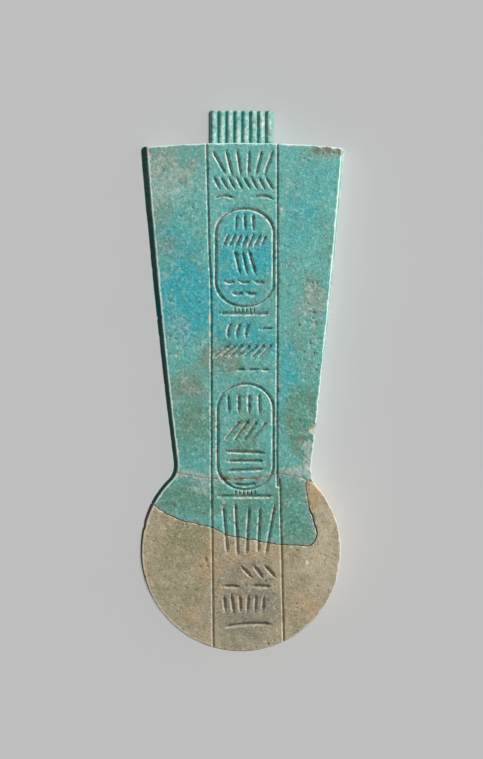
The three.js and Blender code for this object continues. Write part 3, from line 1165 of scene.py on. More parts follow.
@dataclass
class PendantPiece:
    """One piece of the pendant: a carved face, the walls round it and a back, in one closed mesh."""

    form: PendantForm
    name: str = ""
    node: str = ""
    slot: str = ""
    seed: int = 0
    tones: Tones = field(default_factory=GLAZE_TONES.copy)
    pits: int = 0
    pit_radius: tuple[float, float] = (0.14, 0.32)
    pit_depth: tuple[float, float] = (0.05, 0.16)
    rough: tuple[RoughPatch, ...] = ()
    crumbling: float = 0.16
    crumble_wave: float = 0.8
    sharp_edge: float = 0.02
    tab_edge: float = 0.2
    wall_hollow: float = 0.09
    wall_wave: float = 2.6
    back_hollow: float = 0.05
    back_wave: float = 9.0
    crease: float = 58.0

    GRID = 0.8
    JITTER = 0.2
    BACK_GRID = 2.4
    BACK_JITTER = 0.3
    MERGE = 0.07
    PIT_SIDES = 6
    PIT_RARITY = 2.5
    ROUGH_SHARES = (0.2, 1.3)
    MARK_SAMPLES = 90
    MARK_REACH = 1.3
    CLEARANCE = 0.05
    RIM_ROWS = (0.06, 0.14, 0.24, 0.36, 0.55, 0.9)
    BREAK_ROWS = (0.07, 0.16, 0.3, 0.5)
    WALL_SHARES = (0.03, 0.1, 0.22, 0.38, 0.55, 0.72, 0.88, 1.0)
    BACK_TURNS = (math.pi / 6, math.pi / 3, math.pi / 2)

    def __post_init__(self) -> None:
        """Lays out the piece's edge and its pits."""
        self.draw = np.random.default_rng(self.seed)
        self.boundary = Boundary.of(self.stretches())
        for kind, source in ((Edge.RIM, self.form), (Edge.TAB, self.form.tab)):
            chosen = self.boundary.is_kind(kind)
            self.boundary.normals[chosen] = source.outward(self.boundary.points[chosen])
        self.pit_list = self.scatter_pits()

    def stretches(self) -> list[tuple[Edge, Array]]:
        """The stretches of edge round the piece, anticlockwise."""
        raise NotImplementedError

    def scatter_pits(self) -> Array:
        """Random pits over the piece.

        Returns:
            The place, radius and depth of each pit, one row each.
        """
        low = self.boundary.points.min(axis=0)
        high = self.boundary.points.max(axis=0)
        places = [self.draw.uniform(low, high, (self.pits, 2))]
        spread = [self.draw.uniform(0.0, 1.0, (self.pits, 1)) ** self.PIT_RARITY]
        for patch in self.rough:
            places.append(self.draw.normal((patch.x, patch.y), (patch.rx, patch.ry), (patch.pits, 2)))
            spread.append(self.draw.uniform(*self.ROUGH_SHARES, (patch.pits, 1)))
        share = np.vstack(spread)
        radius = self.pit_radius[0] + (self.pit_radius[1] - self.pit_radius[0]) * share
        depth = self.draw.uniform(*self.pit_depth, share.shape) * (0.5 + share)
        return np.hstack([np.vstack(places), radius, depth])

    def pit_depths(self, points: Array) -> Array:
        """Depth of the random pits.

        Args:
            points: Places on the face.

        Returns:
            The depth at each place.
        """
        tree = KDTree(len(points))
        for index, (x, y) in enumerate(points):
            tree.insert((x, y, 0.0), index)
        tree.balance()
        depth = np.zeros(len(points))
        for x, y, radius, deep in self.pit_list:
            for _, index, distance in tree.find_range((x, y, 0.0), radius):
                share = max(0.0, 1 - (distance / radius) ** 2)
                depth[index] = max(depth[index], deep * share**1.5)
        return depth

    def face_samples(self) -> Array:
        """Places on the face where the mesh has points.

        Returns:
            The places, one row each, clear of the boundary.
        """
        low = self.boundary.points.min(axis=0)
        high = self.boundary.points.max(axis=0)
        columns = np.arange(low[0], high[0], self.GRID)
        rows = np.arange(low[1], high[1], self.GRID * math.sqrt(0.75))
        x, y = np.meshgrid(columns, rows)
        x = x + (np.arange(len(rows)) % 2)[:, None] * self.GRID / 2
        grid = np.column_stack([x.ravel(), y.ravel()])
        grid = grid + self.draw.uniform(-self.JITTER, self.JITTER, grid.shape) * self.GRID
        parts = [grid]
        parts += [groove.samples() for groove in self.form.grooves]
        parts += [self.form.rim.shifted(-row).points for row in self.RIM_ROWS]
        broken = self.boundary.points[self.boundary.is_kind(Edge.BREAK)]
        inward = -self.boundary.normals[self.boundary.is_kind(Edge.BREAK)]
        parts += [broken + inward * row for row in self.BREAK_ROWS]
        turn = np.linspace(0.0, 2 * math.pi, self.PIT_SIDES + 1)[:-1]
        circle = np.column_stack([np.cos(turn), np.sin(turn)])
        for x, y, radius, _ in self.pit_list:
            parts.append(np.vstack([[x, y], [x, y] + 0.5 * radius * circle, [x, y] + radius * circle]))
        for mark in BLEMISHES:
            count = int(self.MARK_SAMPLES * mark.radius)
            spread = self.draw.uniform(-self.MARK_REACH, self.MARK_REACH, (count, 2)) * mark.radius
            parts.append([mark.x, mark.y] + spread * [1.0, mark.stretch])
        everything = np.vstack(parts)
        inside = np.all((everything > low - 0.1) & (everything < high + 0.1), axis=1)
        everything = everything[inside]
        _, first = np.unique(np.round(everything / self.MERGE), axis=0, return_index=True)
        everything = everything[np.sort(first)]
        distance, _ = Line(self.boundary.points, closed=True).nearest(everything)
        return everything[distance > self.CLEARANCE]

    def face(self, points: Array) -> tuple[Array, dict[Mask, Array]]:
        """Shapes the carved face.

        Args:
            points: Places on the face, one row each.

        Returns:
            The height at each place, and what each place tells the finishes.
        """
        form = self.form
        depth, cut, lip = form.cuts(points)
        chip, loss, stain = form.blemishes(points)
        rim_distance, rim_place = form.rim.nearest(points)
        swing = np.zeros(len(points))
        for start, wave, size in form.wear_waves:
            swing = swing + size * form.grain.along(rim_place + start, wave)
        left = smooth_step(0.2, 0.7, -form.outward(points)[:, 0])
        wear = (form.rim_wear + form.rim_wear_swing * np.clip(swing, -0.9, 1.2)) * (1 - 0.6 * left)
        fall = quarter_round(rim_distance, wear)
        seam_distance, seam_place = self.seam(points)
        crumble = np.clip(form.grain.along(seam_place, self.crumble_wave) + 0.3, 0.0, 1.0)
        seam_fall = (0.05 + self.crumbling * crumble) * np.exp(-seam_distance / (0.1 + 0.2 * crumble))
        pitted = self.pit_depths(points)
        height = form.keyhole.thickness - form.undulation(points)
        height = height - np.maximum(depth, fall) - seam_fall - chip - pitted
        masks = {
            Mask.CUT: cut,
            Mask.LIP: lip,
            Mask.WEAR: np.exp(-((rim_distance / (0.9 * wear + 0.12 + 0.35 * left)) ** 2)),
            Mask.SEAM: np.exp(-seam_distance / 0.7),
            Mask.LOSS: np.maximum(loss, smooth_step(0.2, 0.7, crumble) * np.exp(-seam_distance / 0.3)),
            Mask.STAIN: np.maximum(stain, np.clip(pitted / 0.12, 0.0, 1.0) * 0.4),
        }
        return height, masks

    def seam(self, points: Array) -> tuple[Array, Array]:
        """Distance of places from the piece's broken edge, and how far along it they are."""
        return Line(self.boundary.points[self.boundary.is_kind(Edge.BREAK)]).nearest(points)

    def base(self) -> Array:
        """Height of the back under each point of the boundary."""
        return np.zeros(len(self.boundary.points))

    def walls(self, top: Array) -> list[Array]:
        """Shapes the wall below the face.

        Args:
            top: Height of the face at each point of the boundary.

        Returns:
            Rings of points from just below the face to the back.
        """
        edge = self.boundary
        keyhole = self.form.keyhole
        base = self.base()
        rim = edge.is_kind(Edge.RIM)
        draft = np.where(rim, keyhole.draft(edge.points, edge.normals), 0.0)
        from_break, _ = self.seam(edge.points)
        rounding = np.maximum(keyhole.back_edge * smooth_step(0.0, 1.5, from_break), self.sharp_edge)
        rounding = np.where(edge.is_kind(Edge.TAB), self.tab_edge, rounding)
        along = Line(edge.points, closed=True).reach[:-1]
        rings = []
        for share in self.WALL_SHARES:
            height = top + (base + rounding - top) * share
            lumps = self.form.grain.at(np.column_stack([along, height]), self.wall_wave)
            hollow = self.wall_hollow * math.sin(math.pi * share) * (lumps - 1) * np.where(rim, 1.0, 0.4)
            rings.append(self.ring(draft * share + hollow, height))
        for turn in self.BACK_TURNS:
            height = base + rounding * (1 - math.sin(turn))
            rings.append(self.ring(draft - rounding * (1 - math.cos(turn)), height))
        return rings

    def ring(self, spread: Array, height: Array) -> Array:
        """The boundary moved outwards, at given heights."""
        moved = self.boundary.points + self.boundary.normals * spread[:, None]
        return np.column_stack([moved, height])

    def back_samples(self, edge: Array) -> Array:
        """Places on the back where the mesh has points.

        Args:
            edge: The closed edge of the back.

        Returns:
            The places, one row each, clear of the edge.
        """
        low = edge.min(axis=0)
        high = edge.max(axis=0)
        columns = np.arange(low[0], high[0], self.BACK_GRID)
        rows = np.arange(low[1], high[1], self.BACK_GRID)
        x, y = np.meshgrid(columns, rows)
        grid = np.column_stack([x.ravel(), y.ravel()])
        grid = grid + self.draw.uniform(-self.BACK_JITTER, self.BACK_JITTER, grid.shape) * self.BACK_GRID
        distance, _ = Line(edge, closed=True).nearest(grid)
        return grid[distance > 0.4 * self.BACK_GRID]

    def back_height(self, points: Array) -> Array:
        """Height of the slightly hollow back."""
        return self.back_hollow * (1 + self.form.grain.at(points + 200.0, self.back_wave))

    def build(self) -> bpy.types.Object:
        """Makes the piece.

        Returns:
            The object, in the scene and in place.
        """
        points, triangles, top_index = triangulate(self.boundary.points, self.face_samples())
        height, masks = self.face(points)
        rings = self.walls(height[top_index])
        back_edge = rings[-1][:, :2]
        back_points, back_triangles, back_index = triangulate(back_edge, self.back_samples(back_edge))
        inner = np.setdiff1d(np.arange(len(back_points)), back_index)

        count = len(self.boundary.points)
        ring_start = [len(points) + index * count for index in range(len(rings))]
        inner_start = ring_start[-1] + count
        back_map = np.empty(len(back_points), int)
        back_map[back_index] = ring_start[-1] + np.arange(count)
        back_map[inner] = inner_start + np.arange(len(inner))
        back_inner = np.column_stack([back_points[inner], self.back_height(back_points[inner])])
        vertices = np.vstack([np.column_stack([points, height]), *rings, back_inner])

        loops = [top_index] + [start + np.arange(count) for start in ring_start]
        faces = triangles.tolist()
        for upper, lower in zip(loops, loops[1:]):
            quads = np.column_stack([upper, lower, np.roll(lower, -1), np.roll(upper, -1)])
            faces += quads.tolist()
        faces += back_map[back_triangles][:, ::-1].tolist()

        mesh = bpy.data.meshes.new(self.name)
        mesh.from_pydata((vertices * MM).tolist(), [], faces)
        mesh.update()
        mesh.shade_smooth()
        mesh.set_sharp_from_angle(angle=math.radians(self.crease))
        self.write_masks(mesh, vertices, masks)
        piece = bpy.data.objects.new(self.name, mesh)
        bpy.context.scene.collection.objects.link(piece)
        return piece

    def dress(self, piece: bpy.types.Object, finish: bpy.types.Material) -> None:
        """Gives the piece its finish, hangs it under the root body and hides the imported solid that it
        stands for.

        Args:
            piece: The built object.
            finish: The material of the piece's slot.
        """
        piece.data.materials.append(finish)
        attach(piece, "root")
        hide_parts(self.node)

    def write_masks(self, mesh: bpy.types.Mesh, vertices: Array, face: dict[Mask, Array]) -> None:
        """Stores on the mesh what its vertices tell the finishes.

        Args:
            mesh: The piece's mesh.
            vertices: All its points, in order.
            face: The values on the carved face, whose points come first. Those of the wall come next.
        """
        count = len(face[Mask.CUT])
        walls = [self.wall_masks(share) for share in (*self.WALL_SHARES, 1.0, 1.0, 1.0)]
        for mask in Mask:
            values = np.zeros(len(vertices))
            if mask in self.tones:
                values = self.form.tone(self.tones[mask], vertices[:, :2])
            if mask in face:
                values[:count] = face[mask]
            if mask in walls[0]:
                down = np.concatenate([wall[mask] for wall in walls])
                values[count : count + len(down)] = down
            layer = mesh.attributes.new(mask.value, "FLOAT", "POINT")
            layer.data.foreach_set("value", np.clip(values, 0.0, 1.0).astype(np.float32))

    def wall_masks(self, share: float) -> dict[Mask, Array]:
        """What one ring of the wall tells the finishes.

        Args:
            share: How far down the wall the ring is, from 0 to 1.

        Returns:
            The values at each point of the ring.
        """
        broken = self.boundary.is_kind(Edge.BREAK)
        right = self.boundary.normals[:, 0]
        at_ends = math.exp(-share / 0.05) + 0.6 * math.exp(-(((share - 1.0) / 0.06) ** 2))
        # Painted shade: walls that face left are darkened, as if out of the key lamp's light.
        shade = smooth_step(0.15, 0.6, -right) * (1 - math.exp(-share / 0.04))
        return {
            # Edge wear at the top and foot of the wall, plus painted light: walls that face right are made
            # paler.
            Mask.WEAR: np.where(broken, 0.0, at_ends + 0.45 * smooth_step(0.2, 0.7, right)),
            Mask.LOSS: np.where(broken, 1.0, 0.0),
            Mask.SHADE: np.where(broken, 0.0, shade),
        }


@dataclass
class GlazedBlade(PendantPiece):
    """The flaring blade with its ribbed tab."""

    name: str = "faience_blade"
    node: str = "glazed_blade"
    slot: str = "glaze"
    seed: int = 101
    pits: int = 160
    rib_grain: tuple[tuple[float, float], ...] = ((1.7, 0.05), (0.6, 0.03))
    worn_rib_x: tuple[float, float] = (5.4, 6.8)
    end_insets: tuple[float, ...] = (0.08, 0.18, 0.32, 0.5)
    rough: tuple[RoughPatch, ...] = (
        RoughPatch(17.5, 9.0, 1.6, 5.0, 46),
        RoughPatch(18.0, 24.0, 1.6, 3.0, 16),
        RoughPatch(15.0, -13.0, 2.0, 4.0, 16),
        RoughPatch(-19.0, 16.0, 2.5, 5.0, 24),
        RoughPatch(20.0, 59.0, 4.0, 0.9, 14),
    )

    def stretches(self) -> list[tuple[Edge, Array]]:
        """The rim with the tab on its top edge, then the waist break.

        Returns:
            The kind and the points of each stretch.
        """
        form = self.form
        step = form.keyhole.rim_step
        right, waist_right = meeting(form.rim, form.above_waist, rightmost=True)
        left, waist_left = meeting(form.rim, form.above_waist, rightmost=False)
        roots = form.top_edge(np.array([form.tab.left, form.tab.right]))
        tab_left = Line(np.array([[form.tab.left, roots[0] - 2], [form.tab.left, roots[0] + 2]]))
        tab_right = Line(np.array([[form.tab.right, roots[1] - 2], [form.tab.right, roots[1] + 2]]))
        root_right, _ = meeting(form.rim, tab_right, rightmost=True)
        root_left, _ = meeting(form.rim, tab_left, rightmost=True)
        return [
            (Edge.RIM, form.rim.cut(right, root_right, step)),
            (Edge.TAB, form.tab.outline(roots[0], roots[1])),
            (Edge.RIM, form.rim.cut(root_left, left, step)),
            (Edge.BREAK, form.above_waist.cut(waist_left, waist_right, step)),
        ]

    def root_rows(self, offsets: tuple[float, ...]) -> Array:
        """Rows of places along the foot of the tab.

        Args:
            offsets: How far above the blade's top edge each row is.

        Returns:
            The places, one row each.
        """
        columns = self.form.tab.columns()[1:-1]
        edge = self.form.top_edge(columns)
        return np.vstack([np.column_stack([columns, edge + offset]) for offset in offsets])

    def face_samples(self) -> Array:
        """Places on the blade and on the ribs of its tab.

        Returns:
            The places, one row each.
        """
        tab = self.form.tab
        columns = tab.columns()[1:-1]
        foot = self.form.top_edge(columns)
        rows = [self.root_rows((-0.02, tab.root_gap))]
        for y in np.arange(foot.max() + 0.3, tab.top_y - 0.9, tab.row_step):
            rows.append(np.column_stack([columns, np.full(len(columns), y)]))
        for inset in self.end_insets:
            rows.append(np.column_stack([columns, tab.end_y(columns) - inset]))
        blade = super().face_samples()
        on_blade = blade[:, 1] < self.form.top_edge(blade[:, 0]) - 0.05
        return np.vstack([blade[on_blade], *rows])

    def face(self, points: Array) -> tuple[Array, dict[Mask, Array]]:
        """Shapes the blade's face and the ribs of its tab.

        Args:
            points: Places on the face, one row each.

        Returns:
            The height at each place, and what each place tells the finishes.
        """
        height, masks = super().face(points)
        tab = self.form.tab
        grain = self.form.grain
        across = (points[:, 0] > tab.left - 0.01) & (points[:, 0] < tab.right + 0.01)
        on_tab = across & (points[:, 1] > self.form.top_edge(points[:, 0]) + tab.root_gap / 2)
        ribs = tab.height(points)
        for wave, size in self.rib_grain:
            ribs = ribs - size * (1 + grain.at(points, wave))
        height = np.where(on_tab, ribs, height)
        for mask in (Mask.CUT, Mask.LIP, Mask.SEAM, Mask.LOSS):
            masks[mask] = np.where(on_tab, 0.0, masks[mask])
        # Painted highlight with some wear: the crests of the ribs are made paler.
        crest = smooth_step(0.7, 1.0, tab.rib(points[:, 0])) * 0.55
        masks[Mask.WEAR] = np.where(on_tab, crest, masks[Mask.WEAR])
        # Painted shade: the valleys between the ribs are darkened through the cut mask.
        valley = 0.25 * smooth_step(0.5, 0.0, tab.rib(points[:, 0]))
        masks[Mask.CUT] = np.where(on_tab, valley, masks[Mask.CUT])
        worn_rib = smooth_step(*self.worn_rib_x, points[:, 0])
        worn_rib = worn_rib * smooth_step(-0.2, 0.5, grain.at(points, 1.1))
        masks[Mask.STAIN] = np.where(on_tab, 0.6 * worn_rib, masks[Mask.STAIN])
        return height, masks

    def base(self) -> Array:
        """The back's height, which is higher under the tab."""
        return np.where(self.boundary.is_kind(Edge.TAB), self.form.tab.back_z, 0.0)

    def back_samples(self, edge: Array) -> Array:
        """Places on the back, with rows at the foot of the tab.

        Args:
            edge: The closed edge of the back.

        Returns:
            The places, one row each.
        """
        tab = self.form.tab
        grid = super().back_samples(edge)
        below = grid[:, 1] < self.form.top_edge(grid[:, 0]) - 1.2
        above = grid[:, 1] > self.form.top_edge(grid[:, 0]) + 0.8
        rounding = self.form.keyhole.back_edge
        rows = self.root_rows((-rounding, -0.4 * rounding, -0.02, tab.root_gap + 0.02))
        inset = (rows[:, 0] > tab.left + rounding) & (rows[:, 0] < tab.right - rounding)
        return np.vstack([grid[below | above], rows[inset]])

    def back_height(self, points: Array) -> Array:
        """Height of the back, with the step up to the tab.

        Args:
            points: Places on the back.

        Returns:
            The height at each place.
        """
        above_edge = points[:, 1] - self.form.top_edge(points[:, 0])
        flat = super().back_height(points)
        rounding = self.form.keyhole.back_edge
        lifted = quarter_round(-above_edge, rounding)
        return np.where(above_edge > 0, self.form.tab.back_z, np.maximum(flat, lifted))


@dataclass
class GlazedShoulder(PendantPiece):
    """The glazed piece of the shoulder, between the waist break and the buff piece."""

    name: str = "faience_shoulder"
    node: str = "glazed_shoulder"
    slot: str = "glaze"
    seed: int = 202
    pits: int = 40

    def stretches(self) -> list[tuple[Edge, Array]]:
        """A short stretch of rim on the left, then the two breaks.

        Returns:
            The kind and the points of each stretch.
        """
        form = self.form
        step = form.keyhole.rim_step
        upper, waist_left = meeting(form.rim, form.below_waist, rightmost=False)
        lower, fill_left = meeting(form.rim, form.inside_fill, rightmost=False)
        waist_right, fill_right = meeting(form.below_waist, form.inside_fill, rightmost=True)
        return [
            (Edge.RIM, form.rim.cut(upper, lower, step)),
            (Edge.BREAK, form.inside_fill.cut(fill_left, fill_right, step)),
            (Edge.BREAK, form.below_waist.cut(waist_right, waist_left, step)),
        ]


@dataclass
class BuffDiscFill(PendantPiece):
    """The unglazed buff piece that completes the disc."""

    name: str = "buff_fill"
    node: str = "buff_disc_fill"
    slot: str = "buff"
    seed: int = 303
    tones: Tones = field(default_factory=BUFF_TONES.copy)
    pits: int = 420
    pit_radius: tuple[float, float] = (0.12, 0.3)
    crumbling: float = 0.25

    def stretches(self) -> list[tuple[Edge, Array]]:
        """The disc's rim from the left round to the waist on the right, then the breaks.

        Returns:
            The kind and the points of each stretch.
        """
        form = self.form
        step = form.keyhole.rim_step
        left, fill_left = meeting(form.rim, form.outside_fill, rightmost=False)
        right, waist_rim = meeting(form.rim, form.below_waist, rightmost=True)
        waist_right, fill_right = meeting(form.below_waist, form.outside_fill, rightmost=True)
        return [
            (Edge.RIM, form.rim.cut(left, right, step)),
            (Edge.BREAK, form.below_waist.cut(waist_rim, waist_right, step)),
            (Edge.BREAK, form.outside_fill.cut(fill_right, fill_left, step)),
        ]


def paint(red: int, green: int, blue: int) -> tuple[float, float, float, float]:
    """Turns a colour as it looks on a screen into the shader's own values.

    Args:
        red: Red, from 0 to 255.
        green: Green, likewise.
        blue: Blue, likewise.

    Returns:
        The colour, with full cover as its last value.
    """

    def straight(value: int) -> float:
        """One value without the screen's curve."""
        share = value / 255
        return share / 12.92 if share <= 0.04045 else ((share + 0.055) / 1.055) ** 2.4

    return (straight(red), straight(green), straight(blue), 1.0)


class FinishTree:
    """One material's nodes, put together with few words."""

    def __init__(self, name: str) -> None:
        """Starts the material.

        Args:
            name: The material's name.
        """
        self.material = bpy.data.materials.new(name)
        self.material.use_nodes = True
        self.tree = self.material.node_tree
        self.tree.nodes.clear()
        output = self.tree.nodes.new("ShaderNodeOutputMaterial")
        self.shader = self.tree.nodes.new("ShaderNodeBsdfPrincipled")
        self.tree.links.new(self.shader.outputs["BSDF"], output.inputs["Surface"])
        self.place = self.tree.nodes.new("ShaderNodeTexCoord").outputs["Object"]
        self.seeds = 0

    def feed(self, socket: bpy.types.NodeSocket, value: object) -> None:
        """Links a socket to another, or sets it.

        Args:
            socket: The input that is fed.
            value: Another node's output, or a plain value.
        """
        if isinstance(value, bpy.types.NodeSocket):
            self.tree.links.new(value, socket)
        else:
            socket.default_value = value

    def mask(self, mask: Mask) -> bpy.types.NodeSocket:
        """What the vertices tell the finish.

        Args:
            mask: Which of the values.

        Returns:
            The output that holds it.
        """
        node = self.tree.nodes.new("ShaderNodeAttribute")
        node.attribute_name = mask.value
        return node.outputs["Fac"]

    def grain(self, size: float, detail: float = 3.0, rough: float = 0.55) -> bpy.types.NodeSocket:
        """Noise, each call with its own pattern.

        Args:
            size: Size of its features in millimetres.
            detail: How many finer layers it has.
            rough: How strong the finer layers are.

        Returns:
            The output that holds it.
        """
        node = self.tree.nodes.new("ShaderNodeTexNoise")
        node.noise_dimensions = "4D"
        self.seeds += 1
        self.feed(node.inputs["Vector"], self.place)
        self.feed(node.inputs["W"], 3.7 * self.seeds)
        self.feed(node.inputs["Scale"], 1 / (size * MM))
        self.feed(node.inputs["Detail"], detail)
        self.feed(node.inputs["Roughness"], rough)
        return node.outputs["Fac"]

    def span(
        self, value: bpy.types.NodeSocket, low: float, high: float, most: float = 1.0
    ) -> bpy.types.NodeSocket:
        """Eases a value.

        Args:
            value: What is eased.
            low: Where the result is 0.
            high: Where the result is the most.
            most: The highest result.

        Returns:
            The output that holds the result.
        """
        node = self.tree.nodes.new("ShaderNodeMapRange")
        node.interpolation_type = "SMOOTHSTEP"
        for socket, number in zip(node.inputs[:5], (value, low, high, 0.0, most)):
            self.feed(socket, number)
        return node.outputs["Result"]

    def sums(self, operation: str, first: object, second: object) -> bpy.types.NodeSocket:
        """One step of arithmetic.

        Args:
            operation: What is done with the two values.
            first: One value or output.
            second: The other.

        Returns:
            The output that holds the result.
        """
        node = self.tree.nodes.new("ShaderNodeMath")
        node.operation = operation
        self.feed(node.inputs[0], first)
        self.feed(node.inputs[1], second)
        return node.outputs["Value"]

    def blend(self, share: object, under: object, over: object) -> bpy.types.NodeSocket:
        """Lays one colour over another.

        Args:
            share: How far the upper colour covers.
            under: The lower colour.
            over: The upper colour.

        Returns:
            The output that holds the result.
        """
        node = self.tree.nodes.new("ShaderNodeMix")
        node.data_type = "RGBA"
        self.feed(node.inputs["Factor"], share)
        self.feed(node.inputs[6], under)
        self.feed(node.inputs[7], over)
        return node.outputs[2]

    def bump(self, height: bpy.types.NodeSocket, depth: float, strength: float) -> None:
        """Roughens the surface.

        Args:
            height: The output that holds the height, from 0 to 1.
            depth: Its full depth in millimetres.
            strength: How strongly it shows.
        """
        node = self.tree.nodes.new("ShaderNodeBump")
        self.feed(node.inputs["Strength"], strength)
        self.feed(node.inputs["Distance"], depth * MM)
        self.feed(node.inputs["Height"], height)
        self.feed(self.shader.inputs["Normal"], node.outputs["Normal"])


@dataclass(frozen=True)
class GlazeFinish:
    """Worn blue-green faience glaze over a pale granular body."""

    turquoise: tuple = paint(98, 168, 160)
    blue: tuple = paint(34, 160, 170)
    green: tuple = paint(92, 142, 122)
    warm: tuple = paint(122, 136, 120)
    olive: tuple = paint(108, 136, 106)
    aqua: tuple = paint(72, 168, 160)
    rust: tuple = paint(124, 102, 76)
    haze: tuple = paint(168, 184, 176)
    pale: tuple = paint(206, 222, 212)
    deep: tuple = paint(40, 90, 88)
    shadow: tuple = paint(14, 62, 58)
    body: tuple = paint(196, 182, 164)
    dirt_and_shade_brown: tuple = paint(104, 82, 60)
    grey: tuple = paint(144, 156, 152)

    def material(self) -> bpy.types.Material:
        """Makes the glaze.

        Returns:
            The material.
        """
        tree = FinishTree("worn_glaze")
        cloud = tree.grain(11.0, 4.0)
        patch = tree.grain(3.2, 5.0, 0.62)
        blotch = tree.grain(1.6, 4.0, 0.6)
        fleck = tree.grain(0.85, 3.0, 0.6)
        speck = tree.grain(0.45, 2.0, 0.6)
        drift = tree.sums("SUBTRACT", tree.sums("ADD", cloud, patch), 1.0)
        mottle = tree.sums("SUBTRACT", tree.sums("ADD", patch, fleck), 1.0)

        blue = tree.span(tree.sums("ADD", tree.mask(Mask.BLUE), drift), 0.15, 0.95)
        colour = tree.blend(blue, self.turquoise, self.blue)
        green = tree.span(tree.sums("ADD", tree.mask(Mask.GREEN), drift), 0.25, 1.0)
        colour = tree.blend(green, colour, self.green)
        warm = tree.span(tree.sums("ADD", tree.mask(Mask.WARM), mottle), 0.2, 0.95, 0.85)
        colour = tree.blend(warm, colour, self.warm)
        haze = tree.span(tree.sums("ADD", tree.mask(Mask.PALE), mottle), 0.1, 0.8, 0.9)
        colour = tree.blend(haze, colour, self.haze)
        veil = tree.grain(5.0, 5.0, 0.62)
        spots = tree.grain(1.1, 3.0)
        for noise, low, high, most, tone in (
            (veil, 0.5, 0.68, 0.3, self.olive),
            (veil, 0.5, 0.34, 0.35, self.aqua),
            (blotch, 0.5, 0.7, 0.35, self.olive),
            (blotch, 0.5, 0.34, 0.35, self.aqua),
            (spots, 0.63, 0.76, 0.45, self.rust),
            (fleck, 0.52, 0.72, 0.34, self.pale),
            (fleck, 0.48, 0.28, 0.45, self.deep),
            (speck, 0.54, 0.78, 0.34, self.pale),
            (speck, 0.5, 0.28, 0.48, self.deep),
        ):
            colour = tree.blend(tree.span(noise, low, high, most), colour, tone)

        ragged = tree.sums("MULTIPLY", tree.span(patch, 0.3, 0.6), tree.span(fleck, 0.3, 0.62))
        # Painted shade: the bottoms of the cuts are darkened towards deep teal.
        colour = tree.blend(tree.sums("MULTIPLY", tree.mask(Mask.CUT), 0.45), colour, self.deep)
        # Brown dirt in the cuts, which also serves as painted shade there.
        dirt_and_cut_shade = tree.sums("MULTIPLY", tree.mask(Mask.CUT), tree.span(patch, 0.4, 0.6, 0.7))
        colour = tree.blend(dirt_and_cut_shade, colour, self.dirt_and_shade_brown)
        lip = tree.sums("MULTIPLY", tree.mask(Mask.LIP), tree.span(ragged, 0.1, 0.8, 0.7))
        colour = tree.blend(lip, colour, self.pale)
        # Painted shade: walls that face left take a dark teal and brown shadow colour.
        under = tree.blend(tree.span(patch, 0.5, 0.7, 0.35), self.shadow, self.dirt_and_shade_brown)
        colour = tree.blend(tree.sums("MULTIPLY", tree.mask(Mask.SHADE), 0.75), colour, under)
        # Pale edge wear, plus painted light on walls that face right and on the tab's rib crests.
        pale_wear_and_light = tree.span(tree.sums("ADD", tree.mask(Mask.WEAR), mottle), 0.3, 0.85, 0.85)
        colour = tree.blend(pale_wear_and_light, colour, self.pale)
        smear = tree.sums("MULTIPLY", tree.mask(Mask.SEAM), tree.span(fleck, 0.3, 0.6, 0.8))
        colour = tree.blend(smear, colour, self.grey)
        colour = tree.blend(tree.span(tree.mask(Mask.LOSS), 0.2, 0.7, 0.9), colour, self.body)
        stain = tree.sums("MULTIPLY", tree.mask(Mask.STAIN), tree.span(fleck, 0.3, 0.55))
        colour = tree.blend(stain, colour, tree.blend(tree.span(speck, 0.4, 0.6), self.dirt_and_shade_brown, self.rust))

        tree.feed(tree.shader.inputs["Base Color"], colour)
        tree.feed(tree.shader.inputs["Roughness"], tree.sums("ADD", tree.sums("MULTIPLY", patch, 0.3), 0.42))
        shine = tree.sums("MULTIPLY", tree.sums("SUBTRACT", 1.0, tree.mask(Mask.SHADE)), 0.3)
        tree.feed(tree.shader.inputs["Specular IOR Level"], shine)
        tree.bump(tree.sums("ADD", tree.sums("MULTIPLY", speck, 0.7), fleck), 0.2, 0.6)
        return tree.material


